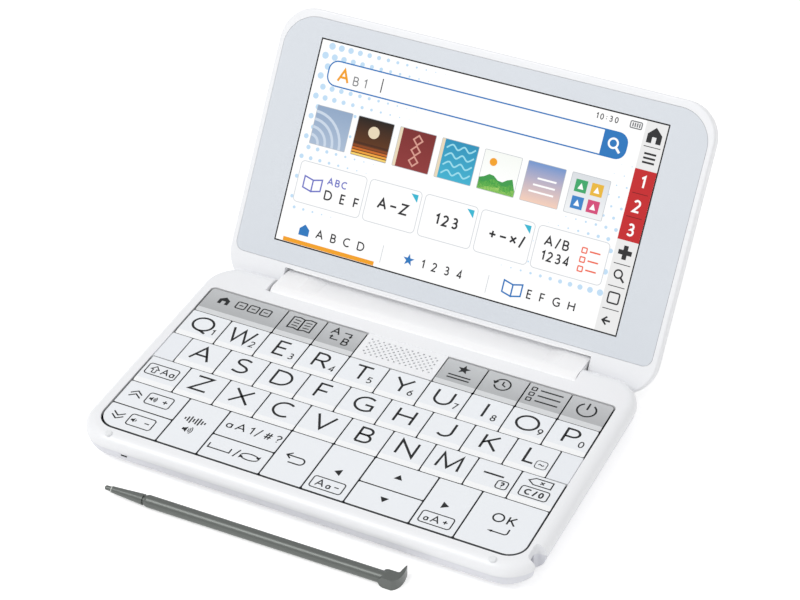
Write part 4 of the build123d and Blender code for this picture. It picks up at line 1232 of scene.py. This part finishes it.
# ------------------------------------------------------------------ pen
@dataclass
class Pen:
    """Pen that lies in front of the keyboard."""

    nib: tuple[float, float] = (-58.1, -57.8)
    height: float = 1.95
    turn: float = 0.8
    ring_at: float = 2.4
    ring_steps: int = 40
    ring_profile: tuple[Point, ...] = ((-0.28, 0.72), (-0.20, 0.98), (0.16, 1.05), (0.34, 1.00))

    def dress(self) -> None:
        """Give the pen its finish."""
        dress("stylus", PEN_GREY)

    def build(self) -> None:
        """Build the pale ring between nib and cone."""
        work = bmesh.new()
        loops = []
        for i in range(self.ring_steps):
            y, z = math.cos(2 * math.pi * i / self.ring_steps), math.sin(2 * math.pi * i / self.ring_steps)
            loops.append([work.verts.new((x, r * y, r * z)) for x, r in self.ring_profile])
        for here, there in zip(loops, loops[1:] + loops[:1]):
            for k in range(len(here)):
                work.faces.new((here[k - 1], here[k], there[k], there[k - 1]))
        bmesh.ops.recalc_face_normals(work, faces=work.faces)
        work.transform(Matrix.Translation(Vector((self.nib[0], self.nib[1] + CASE.shift_y, self.height)) * MM)
                       @ Matrix.Rotation(math.radians(self.turn), 4, "Z") @ Matrix.Scale(MM, 4)
                       @ Matrix.Translation((self.ring_at, 0, 0)))
        mesh = bpy.data.meshes.new("pen_ring")
        work.to_mesh(mesh)
        work.free()
        mesh.materials.append(PEN_RING.material())
        for face in mesh.polygons:
            face.use_smooth = True
        settle(show(mesh), "pen")


# ------------------------------------------------------------------ display half
@dataclass
class DisplayHalf:
    """Display half: its shell, face panel, glass and the lit picture.

    The picture is laid out in millimetres from its lower left corner. Heights that are counted from its
    upper edge go through the method top.
    """

    width: float = CASE.picture_w
    height: float = CASE.picture_h
    border: float = 0.42
    strip: float = 7.6
    step: float = 0.009
    bold: float = 1.28
    blue: Colour = "2A76BC"
    cyan: Colour = "35B5D0"
    orange: Colour = "F0A020"
    red: Colour = "C3272B"
    dark_red: Colour = "7A1518"
    violet: Colour = "6F74C4"
    coral: Colour = "EE6A50"
    white: Colour = "FEFEFE"
    line: Colour = "CDD1D6"
    grey: Colour = "E9E9E9"
    text: Colour = "2E2E30"
    soft: Colour = "77797C"
    dot: Colour = "BFDCF3"
    pale: Colour = "E6D6B8"
    dots_middle: Point = (57.0, 34.2)
    dots_half: Point = (54.0, 32.0)
    dots_slant: tuple[float, float] = (0.45, 0.8)
    tile: float = 12.9
    tile_pitch: float = 15.1
    tile_looks: tuple[tuple[Colour, Colour], ...] = (
        ("8FA6C4", "A9BBD2"), ("1C1712", "6E3B12"), ("7A2A2A", "8E3636"), ("2A8FB8", "3FB0CE"),
        ("F4F7F2", "FFFFFF"), ("6D93CC", "F3CDB8"), ("D8DCE0", "F0F2F4"))
    card_widths: tuple[float, ...] = (24.2, 18.6, 18.6, 18.6, 24.2)
    card_gap: float = 1.3

    def __post_init__(self) -> None:
        """Start the layers of the picture, from the glass up; the dots lie on the first."""
        self.ground, self.cards, self.marks, self.signs = (
            Print("picture_" + name, on_glass, self.text, level * self.step, self.bold)
            for level, name in ((1, "ground"), (3, "cards"), (4, "marks"), (5, "signs")))

    def dress(self) -> None:
        """Give the CAD nodes of this half their finish."""
        dress("lid_shell", CASE_WHITE)
        dress("screen_panel", PANEL_GREY)
        dress("lcd_module", GLASS_BLACK)

    def build(self) -> None:
        """Build the layers of the picture."""
        edge = self.border
        self.ground.block(edge, edge, self.width - edge, self.height - edge, self.white)
        self.keep(self.ground.build(PICTURE_INK))
        self.build_dots()
        for draw in (self.draw_side_strip, self.draw_status, self.draw_search, self.draw_tiles,
                     self.draw_cards, self.draw_tabs):
            draw()
        for layer in (self.cards, self.marks, self.signs):
            self.keep(layer.build(PICTURE_INK))

    def keep(self, piece: bpy.types.Object) -> None:
        """Let a piece of the picture ride on the display half."""
        settle(piece, "lid")

    def top(self, depth: float) -> float:
        """Height above the lower edge of a point given from the upper edge."""
        return self.height - depth

    def build_dots(self) -> None:
        """Halftone dots that shrink away from two corners, laid by Geometry Nodes."""
        tree, enter = open_tree(
            "halftone", SHAPE_TREE,
            (("Pitch", "Float", 3.4), ("Columns", "Int", 33), ("Rows", "Int", 20), ("Largest", "Float", 1.22),
             ("Smallest", "Float", 0.07), ("Reach", "Float", 46.0), ("Finish", "Material")),
            (("Mesh", "Geometry"),))
        count, pitch = partial(maths, tree), enter["Pitch"]
        grid = node(tree, "GeometryNodeMeshGrid", {
            "Size X": count("MULTIPLY", pitch, count("SUBTRACT", enter["Columns"], 1)),
            "Size Y": count("MULTIPLY", pitch, count("SUBTRACT", enter["Rows"], 1)),
            "Vertices X": enter["Columns"], "Vertices Y": enter["Rows"]})
        where = node(tree, "GeometryNodeInputPosition", {}).outputs[0]
        x, y, _ = node(tree, "ShaderNodeSeparateXYZ", {0: where}).outputs
        half_x, half_y = self.dots_half
        near = []
        for across, along, slant in (
                (count("ADD", x, half_x), count("SUBTRACT", half_y, y), self.dots_slant[0]),
                (count("SUBTRACT", half_x, x), count("ADD", half_y, y), self.dots_slant[1])):
            far = count("ADD", across, count("MULTIPLY", along, slant))
            near.append(count("SUBTRACT", 1.0, count("DIVIDE", far, enter["Reach"])))
        size = count("MULTIPLY", count("MAXIMUM", count("MAXIMUM", *near), 0.0), enter["Largest"])
        # The number of the row, counted from far enough below for none to be negative.
        row = count("FLOOR", count("ADD", count("DIVIDE", y, pitch), 40.25))
        shift = count("MULTIPLY", count("MODULO", row, 2.0), count("MULTIPLY", pitch, 0.5))
        offset = node(tree, "ShaderNodeCombineXYZ", {"X": shift})
        stagger = node(tree, "GeometryNodeSetPosition",
                       {"Geometry": grid.outputs[0], "Offset": offset.outputs[0]})
        dot = node(tree, "GeometryNodeMeshCircle", {"Vertices": 10, "Radius": 1.0}, fill_type="NGON")
        chosen = node(tree, "FunctionNodeCompare", {0: size, 1: enter["Smallest"]}, data_type="FLOAT",
                      operation="GREATER_THAN")
        place = node(tree, "GeometryNodeInstanceOnPoints", {
            "Points": stagger.outputs[0], "Selection": chosen.outputs[0], "Instance": dot.outputs[0],
            "Scale": size})
        dots = grown("picture_dots", tree, place.outputs[0], enter["Finish"], PICTURE_INK)
        tint(dots.data, [self.dot] * len(dots.data.loops))
        for vertex in dots.data.vertices:
            x, y = vertex.co.x + self.dots_middle[0], vertex.co.y + self.dots_middle[1]
            x = min(max(x, self.border), self.width - self.strip)
            y = min(max(y, self.border), self.height - self.border)
            vertex.co = on_glass(x, y, 2 * self.step)
        self.keep(dots)

    def draw_side_strip(self) -> None:
        """Column of touch fields along the right edge."""
        cards, marks, signs, top = self.cards, self.marks, self.signs, self.top
        x0, x1 = self.width - self.strip, self.width - self.border
        mid = (x0 + x1) / 2
        cards.block(x0, self.border, x1, top(self.border), self.grey)
        marks.block(x0, top(38.4), x1, top(15.6), self.red)
        for depth in (23.2, 30.8):
            signs.line(x0 + 1, top(depth), x1 - 1, top(depth), 0.18, self.dark_red)
        for depth in (8.2, 46.0, 53.2, 60.6):
            marks.line(x0 + 0.8, top(depth), x1 - 0.8, top(depth), 0.2)
        marks.fill(moved([(-2.4, -7.0), (2.4, -7.0), (2.4, -4.2), (0, -1.9), (-2.4, -4.2)], mid, self.height))
        signs.block(mid - 0.7, top(7.0), mid + 0.7, top(5.0), self.grey)
        for digit, x, depth in (("1", -0.8, 21.4), ("2", -1.2, 29.2), ("3", -1.2, 36.8)):
            signs.write(digit, mid + x, top(depth), 4.0, 0.5, self.white)
        for depth in (10.4, 11.8, 13.2):
            marks.line(mid - 2.0, top(depth), mid + 2.0, top(depth), 0.5)
        half = 0.75
        for dx, dy in ((0, 0), (2, 0), (-2, 0), (0, 2), (0, -2)):
            x, y = mid + dx * half, top(42.2) + dy * half
            marks.block(x - half, y - half, x + half, y + half)
        marks.stroke(_ring(mid - 0.4, top(49.2), 1.3, 1.3), 0.4)
        marks.line(mid + 0.5, top(50.1), mid + 1.9, top(51.5), 0.5)
        marks.frame(mid - 1.8, top(58.6), mid + 1.8, top(55.2), 0.5, 0.4)
        marks.line(mid + 0.8, top(64.4), mid - 1.6, top(64.4), 0.5)
        marks.stroke([(mid - 0.4, top(63.1)), (mid - 1.8, top(64.4)), (mid - 0.4, top(65.7))], 0.45)

    def draw_status(self) -> None:
        """Clock and battery sign."""
        marks, top = self.marks, self.top
        marks.write("10:30", 97.6, top(3.6), 1.9, 0.24, gap=0.4)
        marks.frame(109.2, top(3.7), 113.0, top(1.6), 0.4, 0.3, self.soft)
        for i in range(4):
            marks.block(109.8 + i * 0.75, top(3.3), 110.25 + i * 0.75, top(2.0), self.soft)

    def draw_search(self) -> None:
        """Round-ended entry field with a lens at its right end."""
        marks, signs, top = self.marks, self.signs, self.top
        left, right, low, high, corner, lens_left = 5.0, 109.8, top(14.4), top(6.2), 3.2, 101.6
        outline = rounded(left, low, right, high, corner)
        self.cards.fill(outline, self.white)
        marks.stroke([None, *outline], 0.36, self.blue)
        round_end = [point for point in outline if point[0] > lens_left]
        marks.fill([(lens_left, low), *round_end, (lens_left, high)], self.blue)
        signs.stroke([None, *arc(105.3, top(9.9), 1.5, 1.5, 0, 345, 23)], 0.5, self.white)
        signs.line(106.4, top(11.0), 107.9, top(12.5), 0.6, self.white)
        end = marks.write("A", 8.6, top(12.8), 4.6, 0.6, self.orange)
        marks.write("B1", end + 1.6, top(12.8), 3.0, 0.3, self.soft, gap=0.6)
        marks.line(24.6, top(8.2), 24.6, top(12.8), 0.3)

    def draw_tiles(self) -> None:
        """Row of coloured tiles with plain patterns."""
        y, s = self.top(34.6), self.tile
        for i, ((high, low), marks, signs) in enumerate(zip(self.tile_looks, *zip(*self.tile_patterns()))):
            x = 4.2 + i * self.tile_pitch
            self.cards.block(x, y, x + s, y + s, None, [low, low, high, high])
            self.marks.draw(marks, x, y)
            self.signs.draw([*signs, ("frame", 0, 0, s, s, 0.3, 0.14, "B8BCC2")], x, y)

    def tile_patterns(self) -> list[tuple[list[Mark], list[Mark]]]:
        """Patterns of the tiles, measured from a tile's lower left corner.

        Returns:
            For each tile its marks and the signs above them.
        """
        s, pale, white = self.tile, self.pale, self.white
        spine = ("block", 0, 0, 1.1, s, pale)
        dusk = ("F6D26A", "EFA23A", "CC6A22", "8A4218", "4A2612")
        hills = ("3E9B4A", "6DB94F", "A4D06B")
        rhomb = [(-1.6, 0), (0, -1.6), (1.6, 0), (0, 1.6)]
        wave = [(2 + k * 2.0, 0.7 if k % 2 else -0.7) for k in range(6)]
        squares = [(3.7 + (i % 2) * 5.4, 3.7 + (i // 2) * 5.4, code)
                   for i, code in enumerate(("3C82C8", "D24A78", "3FA66A", "E7B63A"))]
        return [
            # Quarter rings about the lower left corner.
            ([("stroke", arc(0, 0, r, r, 0, 90, 10), 0.7, "C9D6E6") for r in (3.0, 5.6, 8.2, 10.8)], []),
            # Stripes that darken downwards under a pale disc.
            ([("line", 0, 0.5 + i * 0.95, s, 0.5 + i * 0.95, 0.5, code) for i, code in enumerate(dusk)],
             [("fill", arc(s / 2, 8.6, 2.0, 2.0, 0, 350, 20), pale)]),
            # Book spine and a column of rhombs.
            ([spine, *[("stroke", [None, *moved(rhomb, 7.0, y)], 0.4, "D79A8C")
                       for y in (2.9, 6.4, 9.9)]], []),
            # Book spine and four wavy lines.
            ([spine, *[("stroke", smooth(moved(wave, 0, y)), 0.4, "9ADBEA")
                       for y in (2.4, 5.2, 8.0, 10.8)]], []),
            # Three hills, one behind the other, and a disc.
            ([("fill", [(0, 0), (s, 0), (s, 1.6 + i * 0.3),
                        *[(s * (1 - k / 8), 4.6 - i * 1.3 + 0.9 * math.sin(k * 1.4 + i))
                          for k in range(1, 9)]], code) for i, code in enumerate(hills)],
             [("fill", arc(3.6, 9.4, 1.3, 1.3, 0, 350, 18), self.orange)]),
            # Three rows of text.
            ([], [("line", x, y, s - 2.2, y, 0.45, white) for x, y in ((2.2, 3.6), (3.2, 5.8), (4.2, 8.0))]),
            # Four squares with a white tip in each.
            ([("block", x - 2, y - 2, x + 2, y + 2, code) for x, y, code in squares],
             [("fill", moved([(-1, -1), (1, -1), (0, 1)], x, y), white) for x, y, _ in squares])]

    def draw_cards(self) -> None:
        """Row of white cards with pictograms and lines."""
        signs, foot, head = self.signs, self.top(54.4), self.top(40.6)
        x = 3.2
        for i, wide in enumerate(self.card_widths):
            self.cards.fill(rounded(x, foot, x + wide, head, 1.4), self.white)
            self.marks.frame(x, foot, x + wide, head, 1.4, 0.2, self.line)
            right, mid, middle = x + wide, x + wide / 2, (foot + head) / 2
            if i == 0:
                self.draw_open_book(signs, x + 5.6, foot + 6.6, self.violet)
                signs.write("ABC", x + 10.6, foot + 8.0, 2.4, 0.34, self.violet)
                signs.write("D E F", x + 10.6, foot + 3.0, 3.2, 0.42)
            elif i == len(self.card_widths) - 1:
                for row in (foot + 3.6, foot + 6.6, foot + 9.6):
                    signs.frame(right - 8.6, row - 0.8, right - 7.0, row + 0.8, 0.2, 0.34, self.coral)
                    signs.line(right - 6.0, row, right - 2.4, row, 0.4, self.coral)
                signs.write("A/B", x + 2.8, foot + 7.8, 3.2, 0.42)
                signs.write("1234", x + 2.8, foot + 3.0, 3.2, 0.42)
            else:
                signs.fill(moved([(-1.2, -1.2), (-3.8, -1.2), (-1.2, -3.8)], right, head), self.cyan)
                text, back, gap = (("A-Z", 5.2, 0.28), ("123", 4.4, 0.34), ("+-x/", 5.4, 0.28))[i - 1]
                signs.write(text, mid - back, middle - 1.9, 3.6, 0.5, gap=gap)
            x = right + self.card_gap

    def draw_open_book(self, layer: Print, x: float, y: float, ink: Colour) -> None:
        """Small open book.

        Args:
            layer: Layer to draw on.
            x: Centre X.
            y: Centre Y.
            ink: Its colour.
        """
        for side in (-1, 1):
            page = moved([(0, -2.2), (3.2, -1.4), (3.2, 2.4), (0, 1.6)], x, y, side, 1)
            layer.stroke([None, *page], 0.4, ink)

    def draw_tabs(self) -> None:
        """Three tabs along the lower edge, the first one underlined."""
        marks, top, foot = self.marks, self.top, self.top(64.8)
        self.cards.block(self.border, self.border, self.width - self.strip, top(58.6), self.white)
        for x in (38.4, 76.0):
            marks.line(x, top(60.6), x, top(66.4), 0.2, self.line)
        marks.block(3.0, top(68.0), 36.4, top(66.6), self.orange)
        marks.fill(moved([(0, 0), (3.6, 0), (3.6, 2.2), (1.8, 3.8), (0, 2.2)], 8.0, foot), self.blue)
        marks.fill(star(48.0, foot + 1.8, 2.1, 0.85), self.blue)
        self.draw_open_book(marks, 84.6, foot + 1.7, self.blue)
        for x, label in ((14.2, "A B C D"), (52.6, "1 2 3 4"), (89.8, "E F G H")):
            marks.write(label, x, foot + 0.3, 2.9, 0.36)


# ------------------------------------------------------------------ studio
@dataclass
class Studio:
    """Pale floor, soft light and the camera."""

    eye: Place = (0.25516684, -0.5195312, 0.4861915)
    right: Place = (0.9010610224, 0.4336485805, -0.0061597428)
    down: Place = (0.2618550230, -0.5553102577, -0.7893430589)
    ahead: Place = (-0.3457180654, 0.7096333041, -0.6139214876)
    lens: float = 107.0476
    sensor: float = 36.0
    nearest: float = 0.01
    ambient: float = 0.69
    floor_glow: float = 0.46
    floor_half: float = 3.0
    floor_tint: tuple[float, float] = (0.84, 0.86)

    def build(self) -> None:
        """Build floor, world, lamps and camera."""
        self.build_floor()
        self.build_world()
        self.build_lamp("key_softbox", (-0.55, -0.75, 1.25), (0.0, 0.0, 0.02), 0.65, 7.0)
        self.build_lamp("fill_softbox", (1.1, -0.3, 0.9), (0.0, 0.0, 0.03), 0.9, 0.9)
        self.build_lamp("front_softbox", (0.30, -1.25, 0.70), (0.0, 0.0, 0.02), 0.9, 0.6)
        self.build_camera()

    def seen(self, tree: bpy.types.NodeTree, other: str) -> bpy.types.NodeSocket:
        """Tell the rays that see the background.

        Args:
            tree: Node tree of the material or the world.
            other: Output of Light Path that counts besides the camera's.

        Returns:
            One for such a ray and nought for any other.
        """
        path = node(tree, "ShaderNodeLightPath", {}).outputs
        return maths(tree, "MAXIMUM", path["Is Camera Ray"], path[other])

    def build_floor(self) -> None:
        """Wide pale floor that keeps the shadow of the object."""
        half = self.floor_half
        mesh = bpy.data.meshes.new("studio_floor")
        corners = [(-half, -half, 0), (half, -half, 0), (half, half, 0), (-half, half, 0)]
        mesh.from_pydata(corners, [], [(0, 1, 2, 3)])
        draft = Draft("pale_floor")
        cloud = node(draft.tree, "ShaderNodeTexNoise", {"Vector": draft.place, "Scale": 60.0}).outputs[0]
        pale = node(draft.tree, "ShaderNodeMapRange",
                    {"Value": cloud, "To Min": self.floor_tint[0], "To Max": self.floor_tint[1]})
        glow = maths(draft.tree, "MULTIPLY", self.seen(draft.tree, "Is Glossy Ray"), self.floor_glow)
        feed(draft.tree, draft.shader, {
            "Base Color": pale.outputs[0], "Roughness": 0.9, "Specular IOR Level": 0.0,
            "Emission Color": WHITE, "Emission Strength": glow})
        mesh.materials.append(draft.made)
        show(mesh)

    def build_world(self) -> None:
        """Even pale surroundings, white where the camera sees them."""
        world = bpy.data.worlds.new("studio")
        bpy.context.scene.world = world
        world.use_nodes = True
        tree = world.node_tree
        level = node(tree, "ShaderNodeMapRange",
                     {"Value": self.seen(tree, "Is Transmission Ray"), "To Min": self.ambient, "To Max": 1.0})
        back = next(n for n in tree.nodes if n.type == "BACKGROUND")
        feed(tree, back, {"Color": WHITE, "Strength": level.outputs[0]})

    def build_lamp(self, name: str, spot: Place, aim: Place, size: float, power: float) -> None:
        """Place one soft lamp.

        Args:
            name: Name of the lamp.
            spot: Where it hangs, in metres.
            aim: The point it faces.
            size: Side of its square face.
            power: Power in watts.
        """
        data = bpy.data.lights.new(name, "AREA")
        data.shape = "SQUARE"
        data.size = size
        data.energy = power
        lamp = bpy.data.objects.new(name, data)
        lamp.location = spot
        lamp.rotation_euler = (Vector(aim) - Vector(spot)).to_track_quat("-Z", "Y").to_euler()
        bpy.context.scene.collection.objects.link(lamp)

    def build_camera(self) -> None:
        """Place the camera that the scene is seen from."""
        data = bpy.data.cameras.new("camera")
        data.lens = self.lens
        data.sensor_width = self.sensor
        data.clip_start = self.nearest
        eye = bpy.data.objects.new("camera", data)
        axes = Matrix((self.right, [-c for c in self.down], [-c for c in self.ahead])).transposed()
        eye.matrix_world = Matrix.Translation(self.eye) @ axes.to_4x4()
        bpy.context.scene.collection.objects.link(eye)
        bpy.context.scene.camera = eye


def main() -> None:
    """Build the dictionary's looks, piece by piece."""
    logging.basicConfig(level=logging.INFO, format="%(message)s")
    bpy.context.scene.view_settings.view_transform = "Standard"
    keyboard, hinge, display, pen = KeyboardHalf(), LinkHinge(), DisplayHalf(), Pen()
    for part in (keyboard, hinge, display, pen):
        part.dress()
    for part in (keyboard, display, pen):
        part.build()
    Studio().build()


if __name__ == "__main__":
    main()
